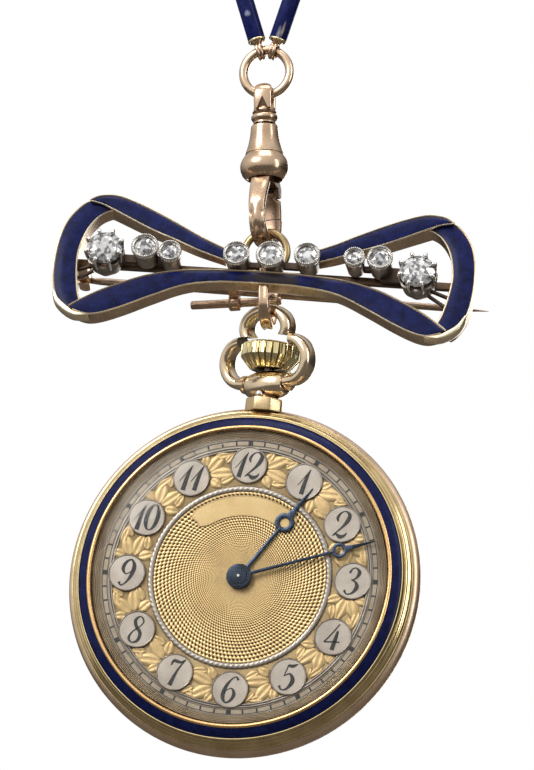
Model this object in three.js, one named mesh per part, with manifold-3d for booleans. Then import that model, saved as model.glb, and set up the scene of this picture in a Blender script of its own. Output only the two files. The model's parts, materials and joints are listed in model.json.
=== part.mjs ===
// A lady's fob watch: an open-faced pocket watch hanging from an enamelled bow brooch, which a
// swivel clasp hooks to a jump ring and two enamelled chain links.
// Millimetres. +Z up, the dial and the bow face -Y, +X to the right as seen from the front.
// Origin: the centre of the jump ring, from which everything hangs.

import * as THREE from 'three';
import Module from 'manifold-3d';

// ---------------------------------------------------------------- driving dimensions

const RUN = 0.06; // running clearance between turning pieces
const GAP = 0.03; // gap between pieces that only touch

// jump ring and links
const RING_RADIUS = 1.87; // to the centre of the wire
const RING_WIRE = 0.35; // wire radius
const LINK_LEANS = { link_left: -16, link_right: 18.7 }; // degrees from vertical
const LINK_EYE_RADIUS = 0.6;
const LINK_EYE_WIRE = 0.22;
const LINK_RADIUS = 0.7;
const LINK_LENGTH = 10; // enamelled baton, without its eyes

// swivel clasp
const CLASP_X = -0.15;
const CLASP_YAW = -8; // how far the hook has turned on its swivel
const STRAP_WIDTH = 1.43;
const STRAP_EYE_Z = -2.0;
const STRAP_EYE_RADIUS = 0.7;
const STRAP_OUTER_RADIUS = 1.07;
const COLLAR_TOP = -3.3;
const BELL_TOP = -4.42;
const BELL_BOTTOM = -8.95;
const BELL_MAX_RADIUS = 1.95;
const HOOK_HALF_SPAN = 1.9; // limb centre lines, front and back of the swivel axis
const HOOK_BOTTOM = -14.4;
const HOOK_THICKNESS = 0.7;
const HOOK_WIDTH = 1.5;
const HOOK_TIP_Z = -11.8;
const GATE_PIVOT_Z = -9.75;

// bow brooch, in its own frame: face at y = 0, depth to +y
const BROOCH_PLACE = [0.878, -2.7, -16.213];
const BROOCH_TILT = { pitch: -14, roll: 5.9, yaw: 5.5 };
const RIBBON_CENTRE_X = -0.5;
const RIBBON_DEPTH = 1.7;
const COLLET_FRONT = -0.8;
const COLLET_BACK = 1.35;
const COLLET_WALL = 0.18;
const PIN_Y = 5.1; // far enough back to swing clear of the watch hook
const PIN_RADIUS = 0.3;
const PIN_HINGE = [-15.3, -0.19]; // x, z
const PIN_TIP_X = 17;
const PIN_TIP_Z = -0.62;
const BACK_BAR = { front: 1.73, back: 2.18, bottom: -0.75, top: -0.15 };
const TOP_LOOP_CENTRE = [-0.05, 0, -14.93];
const TOP_LOOP_RADIUS = 1.7;
const TOP_LOOP_WIRE = 0.3;

// hook that carries the watch, and its bolt
const WATCH_HOOK_X = 0.25;
const WATCH_HOOK_CENTRE = [-0.87, -19.35]; // y, z of its round bottom
const WATCH_HOOK_INNER = 1.5;
const WATCH_HOOK_WIDTH = 1.0;
const BOLT_RADIUS = 0.34;
const BOLT_EYE = [1.15, -18.6]; // y, z
const BOLT_LEFT = -6.3;
const BOLT_RIGHT = 1.0;
const BOLT_GUIDE = [-3.2, -2.3]; // x, from end to end

// watch case, in its own frame: axis along y, dial towards -y
const WATCH_CENTRE = [-1.775, 0, -41.66];
const WATCH_SWING = 6.6; // degrees, clockwise from the front
const DIAL_TURN = -1.87; // the dial sits slightly turned in its case
const CASE_RADIUS = 14;
const MOVEMENT_RADIUS = 12;
const CASE_SEGMENTS = 32;
const PENDANT_HEIGHT = 15.9; // centre of the pendant's ball above the case centre
const BOW_PIVOT_HEIGHT = 16.15;
const BOW_YAW = -27;
const BOW_TILT = 10;
const BOW_DEPTH = 1.5;
const CROWN_RADIUS = 2.36;
const STEM_RADIUS = 0.4;
const CROWN_FLUTES = 24;

// movement: wheel places seen from the front (x, z), and levels from front (-y) to back (+y)
const TOOTH_MODULE = 0.134;
const CENTRE_WHEEL = { teeth: 48, pinion: 8, at: [0, 0] };
const BARREL = { teeth: 48, at: [-4.04, 2.34] };
const THIRD_WHEEL = { teeth: 45, pinion: 6, at: [3.4, 1.24] };
const FOURTH_WHEEL = { teeth: 60, pinion: 6, at: [4.2, -2.09], module: 0.08 };
const ESCAPE_WHEEL = { teeth: 15, pinion: 6, at: [3.32, -4.59] };
const ESCAPE_RADIUS = 1.45;
const PALLET_PIVOT = [1.08, -5.4];
const BALANCE_AT = [-2.7, -6.5];
const BALANCE_RADIUS = 3.1;
const RATCHET = { teeth: 36, at: BARREL.at };
const CROWN_WHEEL = { teeth: 24, at: [-0.75, 7.45] };

// ---------------------------------------------------------------- materials

const metal = (colour, roughness = 0.25) =>
  new THREE.MeshStandardMaterial({ color: colour, metalness: 1, roughness });

const MATERIALS = {
  roseGold: metal(0xc8a587, 0.28),
  yellowGold: metal(0xc8b06e, 0.25),
  silver: metal(0xc9c4bc, 0.35),
  steel: metal(0xa8acb0, 0.3),
  bluedSteel: metal(0x2d3c50, 0.3),
  brass: metal(0xc2a25a, 0.35),
  dial: new THREE.MeshStandardMaterial({ color: 0xb8a070, metalness: 0.6, roughness: 0.5 }),
  enamel: new THREE.MeshStandardMaterial({ color: 0x28327c, metalness: 0, roughness: 0.15 }),
  diamond: new THREE.MeshStandardMaterial({ color: 0xe8eef4, metalness: 0, roughness: 0.02 }),
  crystal: new THREE.MeshStandardMaterial({
    color: 0xf4f8fa, metalness: 0, roughness: 0.02, transparent: true, opacity: 0.25,
  }),
};

// ---------------------------------------------------------------- solids

const wasm = await Module();
wasm.setup();

const AXIS_X = new THREE.Vector3(1, 0, 0);
const AXIS_Y = new THREE.Vector3(0, 1, 0);
const AXIS_Z = new THREE.Vector3(0, 0, 1);
const radians = THREE.MathUtils.degToRad;

// Shared vertices, no flat triangles, faces pointing out.
function closedMesh(geometry) {
  const position = geometry.attributes.position;
  const index = geometry.index?.array ?? Array.from({ length: position.count }, (_, i) => i);
  const gridStep = 1e-4;
  const gridShift = 0.37e-4; // keeps round sizes away from the edges of grid cells
  const known = new Map();
  const vertices = [];
  const shared = Array.from({ length: position.count }, (_, i) => {
    const vertex = new THREE.Vector3().fromBufferAttribute(position, i);
    const key = vertex.toArray().map((value) => Math.round((value + gridShift) / gridStep)).join();
    if (!known.has(key)) {
      known.set(key, vertices.length);
      vertices.push(vertex);
    }
    return known.get(key);
  });
  const triangles = [];
  let volume = 0;
  for (let i = 0; i < index.length; i += 3) {
    const [a, b, c] = [shared[index[i]], shared[index[i + 1]], shared[index[i + 2]]];
    if (a === b || b === c || c === a) continue;
    triangles.push([a, b, c]);
    volume += vertices[a].dot(vertices[b].clone().cross(vertices[c]));
  }
  const ordered = volume > 0 ? triangles : triangles.map(([a, b, c]) => [a, c, b]);
  return { points: vertices.flatMap((vertex) => vertex.toArray()), triangles: ordered.flat() };
}

function solid(geometry) {
  const { points, triangles } = closedMesh(geometry);
  return new wasm.Manifold(new wasm.Mesh({
    numProp: 3,
    vertProperties: new Float32Array(points),
    triVerts: new Uint32Array(triangles),
  }));
}

function geometryOf(shape) {
  const mesh = shape.getMesh();
  const geometry = new THREE.BufferGeometry();
  geometry.setAttribute('position', new THREE.BufferAttribute(mesh.vertProperties.slice(), 3));
  geometry.setIndex(new THREE.BufferAttribute(mesh.triVerts.slice(), 1));
  return geometry;
}

const joined = (...geometries) =>
  geometryOf(geometries.map(solid).reduce((sum, next) => sum.add(next)));

const cut = (geometry, ...tools) =>
  geometryOf(tools.map(solid).reduce((rest, tool) => rest.subtract(tool), solid(geometry)));

// A profile of [radius, height] points turned about the Y axis: pieces of the watch case.
function turned(profile, segments = 32) {
  const points = profile.map(([radius, height]) => new THREE.Vector2(radius, height));
  if (profile[0][0] > 0) points.push(points[0].clone());
  const { points: vertices, triangles } = closedMesh(new THREE.LatheGeometry(points, segments));
  const geometry = new THREE.BufferGeometry();
  geometry.setAttribute('position', new THREE.BufferAttribute(new Float32Array(vertices), 3));
  geometry.setIndex(triangles);
  return geometry;
}

const turnedUpright = (profile, segments) => turned(profile, segments).rotateX(Math.PI / 2);
const turnedAcross = (profile, segments) => turned(profile, segments).rotateZ(-Math.PI / 2);

// A disc or tube about the Y axis at (x, z), from one y level to another.
function disc(radius, front, back, at = [0, 0], bore = 0, segments = 24) {
  const profile = bore > 0
    ? [[bore, front], [radius, front], [radius, back], [bore, back]]
    : [[0, front], [radius, front], [radius, back], [0, back]];
  return turned(profile, segments).translate(at[0], 0, at[1]);
}

const frontToBack = new THREE.Matrix4().makeBasis(AXIS_X, AXIS_Z, AXIS_Y.clone().negate());
const leftToRight = new THREE.Matrix4().makeBasis(AXIS_Y, AXIS_Z, AXIS_X);

// An outline in x and z, solid from y = front to y = back.
function plate(outline, front, back) {
  const settings = { depth: back - front, bevelEnabled: false, curveSegments: 8 };
  return new THREE.ExtrudeGeometry(outline, settings).applyMatrix4(frontToBack)
    .translate(0, back, 0);
}

// An outline in y and z, solid from x = left to x = right.
function sidePlate(outline, left, right) {
  const settings = { depth: right - left, bevelEnabled: false, curveSegments: 8 };
  return new THREE.ExtrudeGeometry(outline, settings).applyMatrix4(leftToRight)
    .translate(left, 0, 0);
}

function rod(from, to, radius, segments = 12) {
  const start = new THREE.Vector3(...from);
  const span = new THREE.Vector3(...to).sub(start);
  const turn = new THREE.Quaternion().setFromUnitVectors(AXIS_Y, span.clone().normalize());
  const middle = start.clone().addScaledVector(span, 0.5);
  return new THREE.CylinderGeometry(radius, radius, span.length(), segments)
    .applyQuaternion(turn).translate(middle.x, middle.y, middle.z);
}

function block(low, high) {
  const size = high.map((value, i) => value - low[i]);
  const middle = high.map((value, i) => (value + low[i]) / 2);
  return new THREE.BoxGeometry(...size).translate(...middle);
}

const polygon = (points) => new THREE.Shape(points.map(([x, y]) => new THREE.Vector2(x, y)));

// The smooth curve through points, as a list of points.
function smooth(points, steps) {
  const curve = new THREE.SplineCurve(points.map(([x, y]) => new THREE.Vector2(x, y)));
  return curve.getPoints(steps).map((point) => [point.x, point.y]);
}

function arc(centre, radii, fromDegrees, toDegrees, steps) {
  return Array.from({ length: steps + 1 }, (_, i) => {
    const angle = radians(fromDegrees + (toDegrees - fromDegrees) * i / steps);
    return [centre[0] + radii[0] * Math.cos(angle), centre[1] + radii[1] * Math.sin(angle)];
  });
}

// Teeth as plain points.
function gearOutline(teeth, tipRadius, rootRadius) {
  const points = [];
  for (let i = 0; i < teeth; i += 1) {
    const tooth = [[-0.25, rootRadius], [0, tipRadius], [0.25, rootRadius]];
    for (const [share, radius] of tooth) {
      const angle = (i + share) * 2 * Math.PI / teeth;
      points.push([radius * Math.cos(angle), radius * Math.sin(angle)]);
    }
  }
  return polygon(points);
}

// A toothed wheel with its pinion and arbor, as one piece, at its place in the movement.
function trainWheel(wheel, levels) {
  const module = wheel.module ?? TOOTH_MODULE;
  const radius = wheel.teeth * module / 2;
  const pinionRadius = levels.pinionRadius;
  const rim = plate(gearOutline(wheel.teeth, radius * 1.015, radius * 0.955), ...levels.wheel);
  const pinion = plate(gearOutline(wheel.pinion, pinionRadius, pinionRadius * 0.65), ...levels.pinion);
  const arbor = disc(levels.arborRadius ?? 0.15, ...levels.arbor, [0, 0], 0, 10);
  const windows = [0, 1, 2, 3].map((i) => {
    const inner = radius * 0.25;
    const outer = radius * 0.8;
    const start = i * 90 + 14;
    const outline = [
      ...arc([0, 0], [outer, outer], start, start + 62, 2),
      ...arc([0, 0], [inner, inner], start + 50, start + 12, 1),
    ];
    return plate(polygon(outline), levels.wheel[0] - 0.1, levels.wheel[1] + 0.1);
  });
  return joined(cut(rim, ...windows), pinion, arbor).translate(wheel.at[0], 0, wheel.at[1]);
}

// A flat spiral strip, standing on edge from y = front to y = back.
function spiral(innerRadius, outerRadius, turns, thickness, front, back) {
  const steps = turns * 12;
  const side = (offset) => Array.from({ length: steps + 1 }, (_, i) => {
    const radius = innerRadius + (outerRadius - innerRadius) * i / steps + offset;
    const angle = i / steps * turns * 2 * Math.PI;
    return [radius * Math.cos(angle), radius * Math.sin(angle)];
  });
  const outline = [...side(thickness / 2), ...side(-thickness / 2).reverse()];
  return plate(polygon(outline), front, back);
}

// ---------------------------------------------------------------- scene

const fobWatch = new THREE.Group();

function addTo(group, name, geometry, material) {
  const { points, triangles } = closedMesh(geometry);
  const tidy = new THREE.BufferGeometry();
  tidy.setAttribute('position', new THREE.BufferAttribute(new Float32Array(points), 3));
  tidy.setIndex(triangles);
  tidy.computeVertexNormals();
  const mesh = new THREE.Mesh(tidy, material);
  mesh.name = name;
  group.add(mesh);
}

function frameIn(parent, place, pitch = 0, roll = 0, yaw = 0) {
  const group = new THREE.Group();
  group.position.set(...place);
  group.rotation.set(radians(pitch), radians(roll), radians(yaw), 'ZXY');
  parent.add(group);
  return group;
}

// ---------------------------------------------------------------- jump ring and links

function addChain() {
  const ring = new THREE.TorusGeometry(RING_RADIUS, RING_WIRE, 8, 24).rotateX(Math.PI / 2);
  addTo(fobWatch, 'jump_ring', ring, MATERIALS.roseGold);

  const eyeHeight = RING_RADIUS - RING_WIRE - LINK_EYE_WIRE - GAP + LINK_EYE_RADIUS;
  const batonBottom = eyeHeight + LINK_EYE_RADIUS + 0.25;
  const batonTop = batonBottom + LINK_LENGTH;
  const capHeight = 0.4;
  const coreRadius = LINK_RADIUS * 0.55;
  const eye = (height) =>
    new THREE.TorusGeometry(LINK_EYE_RADIUS, LINK_EYE_WIRE, 8, 14)
      .rotateY(Math.PI / 2).translate(0, 0, height);
  const core = joined(
    eye(eyeHeight),
    turnedUpright([
      [0, batonBottom - 0.2], [0.3, batonBottom - 0.2], [LINK_RADIUS, batonBottom],
      [LINK_RADIUS, batonBottom + capHeight], [coreRadius, batonBottom + capHeight],
      [coreRadius, batonTop - capHeight], [LINK_RADIUS, batonTop - capHeight],
      [LINK_RADIUS, batonTop], [0.3, batonTop + 0.2], [0, batonTop + 0.2],
    ], 12),
    eye(batonTop + 0.25 + LINK_EYE_RADIUS),
  );
  const sleeve = turnedUpright([
    [coreRadius + GAP, batonBottom + capHeight + GAP], [LINK_RADIUS, batonBottom + capHeight + GAP],
    [LINK_RADIUS, batonTop - capHeight - GAP], [coreRadius + GAP, batonTop - capHeight - GAP],
  ], 12);
  for (const [name, lean] of Object.entries(LINK_LEANS)) {
    const frame = frameIn(fobWatch, [0, 0, 0], 0, lean, 0);
    addTo(frame, `${name}_core`, core, MATERIALS.yellowGold);
    addTo(frame, `${name}_enamel`, sleeve, MATERIALS.enamel);
  }
}

// ---------------------------------------------------------------- swivel clasp

function addClasp() {
  const upper = frameIn(fobWatch, [CLASP_X, 0, 0]);
  const half = STRAP_OUTER_RADIUS;
  const strapOutline = polygon([
    ...arc([0, STRAP_EYE_Z], [half, half], 0, 180, 12), [-0.75, COLLAR_TOP - 0.1], [0.75, COLLAR_TOP - 0.1],
  ]);
  const strapHole = rod([-2, 0, STRAP_EYE_Z], [2, 0, STRAP_EYE_Z], STRAP_EYE_RADIUS, 20);
  const stemHeadTop = -7.15;
  const swivelPost = turnedUpright([
    [0, -7.75], [0.7, -7.75], [0.7, stemHeadTop], [0.42, stemHeadTop], [0.42, -4.36], [0.95, -4.36],
    [1.06, -4.0], [1.06, -3.7], [0.95, COLLAR_TOP], [0, COLLAR_TOP],
  ], 16);
  const strap = cut(sidePlate(strapOutline, -STRAP_WIDTH / 2, STRAP_WIDTH / 2), strapHole);
  addTo(upper, 'clasp_eye', joined(strap, swivelPost), MATERIALS.roseGold);

  const bell = turnedUpright([
    [0, BELL_BOTTOM], [1.35, BELL_BOTTOM], [1.75, -8.5], [BELL_MAX_RADIUS, -7.8], [1.88, -7.3],
    [1.55, -6.9], [1.47, -6.85], [1.3, -5.9], [1.14, -5.0], [1.09, BELL_TOP], [0.42 + RUN, BELL_TOP],
    [0.42 + RUN, stemHeadTop + RUN], [0.7 + RUN, stemHeadTop + RUN], [0.7 + RUN, -7.75 - RUN],
    [0, -7.75 - RUN],
  ], 20);
  addTo(upper, 'clasp_bell', bell, MATERIALS.roseGold);

  const lower = frameIn(upper, [0, 0, 0], 0, 0, CLASP_YAW);
  const baseTop = BELL_BOTTOM - GAP;
  const baseBottom = baseTop - 0.45;
  const outer = HOOK_HALF_SPAN + HOOK_THICKNESS / 2;
  const inner = HOOK_HALF_SPAN - HOOK_THICKNESS / 2;
  const bendZ = HOOK_BOTTOM + outer;
  const hookOutline = polygon([
    [outer - 0.35, baseTop], [-outer + 0.3, baseTop], [-outer, baseTop - 0.4],
    ...arc([0, bendZ], [outer, outer], 180, 360, 16), [outer, HOOK_TIP_Z], [inner, HOOK_TIP_Z],
    ...arc([0, bendZ], [inner, inner], 360, 180, 14), [-inner, baseBottom], [outer - 0.35, baseBottom],
  ]);
  const widthAt = (x) => block([x, -5, -20], [x + 2, 5, bendZ + 0.2]);
  const taper = 0.5; // half width of the bottom, where the loop hangs
  const hookBody = cut(
    sidePlate(hookOutline, -HOOK_WIDTH / 2, HOOK_WIDTH / 2), widthAt(taper), widthAt(-taper - 2),
  );
  const lugWidth = 0.32;
  const lugs = [-HOOK_WIDTH / 2, HOOK_WIDTH / 2 - lugWidth].map((x) =>
    block([x, inner - 0.4, GATE_PIVOT_Z - 0.35], [x + lugWidth, outer - 0.35, baseTop]));
  const pinHole = rod([-2, HOOK_HALF_SPAN - 0.35, GATE_PIVOT_Z], [2, HOOK_HALF_SPAN - 0.35, GATE_PIVOT_Z], 0.2);
  addTo(lower, 'clasp_hook', cut(joined(hookBody, ...lugs), pinHole), MATERIALS.roseGold);

  const pinY = HOOK_HALF_SPAN - 0.35;
  const gatePin = rod([-HOOK_WIDTH / 2, pinY, GATE_PIVOT_Z], [HOOK_WIDTH / 2, pinY, GATE_PIVOT_Z], 0.15);
  addTo(lower, 'clasp_gate_pin', gatePin, MATERIALS.steel);
  const knuckle = HOOK_WIDTH / 2 - lugWidth - RUN;
  const gateOutline = polygon([
    ...arc([pinY, GATE_PIVOT_Z], [0.34, 0.34], 180, 20, 6), [outer, GATE_PIVOT_Z - 0.5],
    [outer, HOOK_TIP_Z + GAP * 2], [inner, HOOK_TIP_Z + GAP * 2], [inner - 0.1, GATE_PIVOT_Z - 0.6],
  ]);
  const gateHole = rod([-2, pinY, GATE_PIVOT_Z], [2, pinY, GATE_PIVOT_Z], 0.15 + RUN);
  addTo(lower, 'clasp_gate', cut(sidePlate(gateOutline, -knuckle, knuckle), gateHole), MATERIALS.roseGold);
}

// ---------------------------------------------------------------- bow brooch

// One half of the ribbon, for x > 0: along the upper band's top edge, down the side, and back along
// the lower band to the middle.
function ribbonOutline() {
  const upperTop = smooth([[3.95, 1.05], [7.2, 2.7], [9.9, 4], [12, 4.78], [13.6, 4.7], [15.05, 4.08]], 14);
  const side = smooth([[15.05, 4.08], [16.15, 2.5], [16.6, 0.7], [16.7, -1.6], [16.45, -3.6], [15.4, -5.45]], 12);
  const lowerBottom = smooth(
    [[15.4, -5.45], [14.4, -5.95], [13.1, -6.2], [10.6, -5.1], [8.5, -3.95], [6, -2.8], [3.1, -2.25], [0.02, -2.12]], 18);
  const lowerTop = smooth(
    [[0.02, -1.25], [3.6, -1.25], [6.7, -1.55], [9.3, -2.2], [11.2, -3.05], [12.6, -3.75], [14.05, -4.7]], 14);
  const sideInner = smooth([[14.05, -4.7], [14.5, -3.7], [14.8, -2], [14.9, -0.2], [14.5, 1.7], [13.7, 3.3]], 10);
  const upperBottom = smooth([[13.7, 3.3], [12.9, 3.6], [11.4, 3.05], [9.4, 2.05], [7.2, 1.2], [3.95, -0.02]], 10);
  return [upperTop, side, lowerBottom, lowerTop, sideInner, upperBottom]
    .flatMap((edge) => edge.slice(0, -1));
}

const STONES = {
  left_large: { at: [-13.19, -0.33], radius: 1.57, claws: 8 },
  left_middle: { at: [-9.99, -0.01], radius: 1.06 },
  left_small: { at: [-7.96, -0.29], radius: 0.87 },
  centre_left: { at: [-2.69, -0.1], radius: 1.06 },
  centre: { at: [0, 0], radius: 1.15 },
  centre_right: { at: [2.9, 0.2], radius: 1.05 },
  right_small: { at: [6.65, 0.22], radius: 0.87 },
  right_middle: { at: [8.67, 0.31], radius: 1.05 },
  right_large: { at: [11.73, -0.63], radius: 1.56, claws: 8 },
};

const SETTINGS = {
  left_setting: ['left_large', 'left_middle', 'left_small'],
  centre_setting: ['centre_left', 'centre', 'centre_right'],
  right_setting: ['right_small', 'right_middle', 'right_large'],
};

function collet({ at, radius, claws }) {
  const bore = radius - COLLET_WALL;
  if (!claws) return disc(radius, COLLET_FRONT, COLLET_BACK, at, bore, 16);
  const clawRadius = 0.13;
  const cup = turned([
    [0.8, COLLET_BACK], [1.05, COLLET_BACK], [1.5, 0.1], [1.5, -0.1], [1.2, -0.1], [1.0, 0.6],
  ], 12);
  const posts = Array.from({ length: claws }, (_, i) => {
    const angle = (i + 0.5) * 2 * Math.PI / claws;
    const [x, z] = [Math.cos(angle), Math.sin(angle)];
    return rod([1.4 * x, 0.3, 1.4 * z], [radius * x, -1.15, radius * z], clawRadius, 5);
  });
  return joined(cup, ...posts).translate(at[0], 0, at[1]);
}

function brilliant({ at, radius, claws }) {
  const girdle = radius - (claws ? 0.19 : COLLET_WALL + GAP);
  const seat = claws ? -0.65 : -0.5;
  const points = claws
    ? [[0, seat + 0.85], [girdle * 0.85, seat + 0.12], [girdle, seat], [girdle * 0.55, seat - 0.38], [0, seat - 0.38]]
    : [[0, seat + 0.45], [girdle - 0.2, seat + 0.08], [girdle - 0.17, seat - 0.05], [girdle * 0.55, seat - 0.28], [0, seat - 0.28]];
  return turned(points, 10).translate(at[0], 0, at[1]);
}

function addBrooch() {
  const { pitch, roll, yaw } = BROOCH_TILT;
  const brooch = frameIn(fobWatch, BROOCH_PLACE, pitch, roll, yaw);

  const half = ribbonOutline();
  const sideOf = (sign) => half.map(([x, z]) => [RIBBON_CENTRE_X + sign * x, z]);
  addTo(brooch, 'bow_ribbon_left', plate(polygon(sideOf(-1)), 0, RIBBON_DEPTH), MATERIALS.yellowGold);
  addTo(brooch, 'bow_ribbon_right', plate(polygon(sideOf(1)), 0, RIBBON_DEPTH), MATERIALS.yellowGold);

  const stripFront = 0.85;
  for (const [name, stones] of Object.entries(SETTINGS)) {
    const places = stones.map((stone) => STONES[stone]);
    const left = places[0].at[0];
    const right = places[places.length - 1].at[0];
    const middle = (places[0].at[1] + places[places.length - 1].at[1]) / 2;
    const strip = block([left, stripFront, middle - 0.3], [right, COLLET_BACK, middle + 0.3]);
    addTo(brooch, name, joined(strip, ...places.map(collet)), MATERIALS.silver);
  }
  for (const [name, stone] of Object.entries(STONES)) {
    addTo(brooch, `diamond_${name}`, brilliant(stone), MATERIALS.diamond);
  }

  const { front, back, bottom, top } = BACK_BAR;
  const bar = block([-15.6, front, bottom], [15, back, top]);
  const loopPost = block([-1.35, front, bottom], [-0.45, back, 1.3]);
  addTo(brooch, 'back_bar', joined(bar, loopPost), MATERIALS.roseGold);

  const loop = new THREE.TorusGeometry(TOP_LOOP_RADIUS, TOP_LOOP_WIRE, 8, 24).rotateX(Math.PI / 2);
  const loopFrame = frameIn(fobWatch, TOP_LOOP_CENTRE);
  addTo(loopFrame, 'top_loop', loop, MATERIALS.roseGold);

  addPin(brooch);
  addWatchHook();
}

// The pin swings away from the brooch's back about an upright rivet.
function addPin(brooch) {
  const [hingeX, hingeZ] = PIN_HINGE;
  const pivot = (low, high, radius, sides) =>
    rod([hingeX, PIN_Y, hingeZ + low], [hingeX, PIN_Y, hingeZ + high], radius, sides);
  const halfWidth = 0.45;
  const standoff = (x, back) =>
    block([x - halfWidth, BACK_BAR.back + GAP, BACK_BAR.bottom], [x + halfWidth, back, BACK_BAR.top]);
  const yoke = block([hingeX - halfWidth, PIN_Y - 0.8, hingeZ - 0.75], [hingeX + halfWidth, PIN_Y - 0.5, hingeZ + 0.75]);
  const ears = [-0.75, 0.4].map((z) =>
    block([hingeX - halfWidth, PIN_Y - 0.6, hingeZ + z], [hingeX + halfWidth, PIN_Y + 0.45, hingeZ + z + 0.35]));
  const hinge = joined(standoff(hingeX, PIN_Y - 0.6), yoke, ...ears, pivot(-0.75, 0.75, 0.14, 8));
  addTo(brooch, 'pin_hinge', hinge, MATERIALS.roseGold);

  const pointLength = 2.6;
  const knuckle = cut(pivot(-0.34, 0.34, 0.4, 16), pivot(-1, 1, 0.14 + RUN, 12));
  const shank = rod([hingeX + 0.3, PIN_Y, hingeZ], [PIN_TIP_X - pointLength, PIN_Y, PIN_TIP_Z], PIN_RADIUS, 10);
  const point = turnedAcross([[0, 0], [PIN_RADIUS, 0], [0.03, pointLength + 0.05], [0, pointLength + 0.05]], 10)
    .translate(PIN_TIP_X - pointLength - 0.05, PIN_Y, PIN_TIP_Z);
  addTo(brooch, 'pin_stem', joined(knuckle, shank, point), MATERIALS.steel);

  const catchX = 14.6;
  const catchOutline = polygon([
    ...arc([PIN_Y, PIN_TIP_Z], [0.75, 0.75], 50, 310, 12),
    ...arc([PIN_Y, PIN_TIP_Z], [0.42, 0.42], 310, 50, 10),
  ]);
  const hook = sidePlate(catchOutline, catchX - halfWidth, catchX + halfWidth);
  addTo(brooch, 'pin_catch', joined(hook, standoff(catchX, PIN_Y - 0.5)), MATERIALS.roseGold);
}

function addWatchHook() {
  const [loopY, loopZ] = WATCH_HOOK_CENTRE;
  const inner = WATCH_HOOK_INNER;
  const outerRadii = [inner + 0.5, inner + 0.75];
  const [eyeY, eyeZ] = BOLT_EYE;
  const outline = polygon([
    [loopY - inner - 0.5, -18.47],
    ...arc([loopY, loopZ], outerRadii, 180, 355, 14),
    [eyeY + 0.05, eyeZ], [eyeY - 0.5, eyeZ],
    ...arc([loopY, loopZ], [inner, inner], 355, 180, 12), [loopY - inner, -18.6],
  ]);
  const left = WATCH_HOOK_X - WATCH_HOOK_WIDTH / 2;
  const right = left + WATCH_HOOK_WIDTH;
  const eye = rod([left, eyeY, eyeZ], [right, eyeY, eyeZ], 0.68, 16);
  const bore = rod([left - 1, eyeY, eyeZ], [right + 1, eyeY, eyeZ], BOLT_RADIUS + RUN, 14);
  const watchHook = cut(joined(sidePlate(outline, left, right), eye), bore);
  addTo(fobWatch, 'watch_hook', watchHook, MATERIALS.roseGold);

  const bolt = rod([BOLT_LEFT, eyeY, eyeZ], [BOLT_RIGHT, eyeY, eyeZ], BOLT_RADIUS, 12);
  addTo(fobWatch, 'hook_bolt', bolt, MATERIALS.roseGold);

  // the sleeve that the bolt slides in, hanging from the brooch's back bar by a strap
  const [guideLeft, guideRight] = BOLT_GUIDE;
  const sleeve = rod([guideLeft, eyeY, eyeZ], [guideRight, eyeY, eyeZ], 0.62, 14);
  const strap = sidePlate(
    polygon([[-1.3, -17.2], [-0.9, -17.05], [eyeY + 0.1, eyeZ + 0.3], [eyeY - 0.4, eyeZ + 0.1]]),
    guideLeft + 0.1, guideRight - 0.1,
  );
  const sleeveBore = rod([guideLeft - 1, eyeY, eyeZ], [guideRight + 1, eyeY, eyeZ], BOLT_RADIUS + RUN, 14);
  addTo(fobWatch, 'bolt_guide', cut(joined(sleeve, strap), sleeveBore), MATERIALS.roseGold);
}

// ---------------------------------------------------------------- watch case

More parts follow.
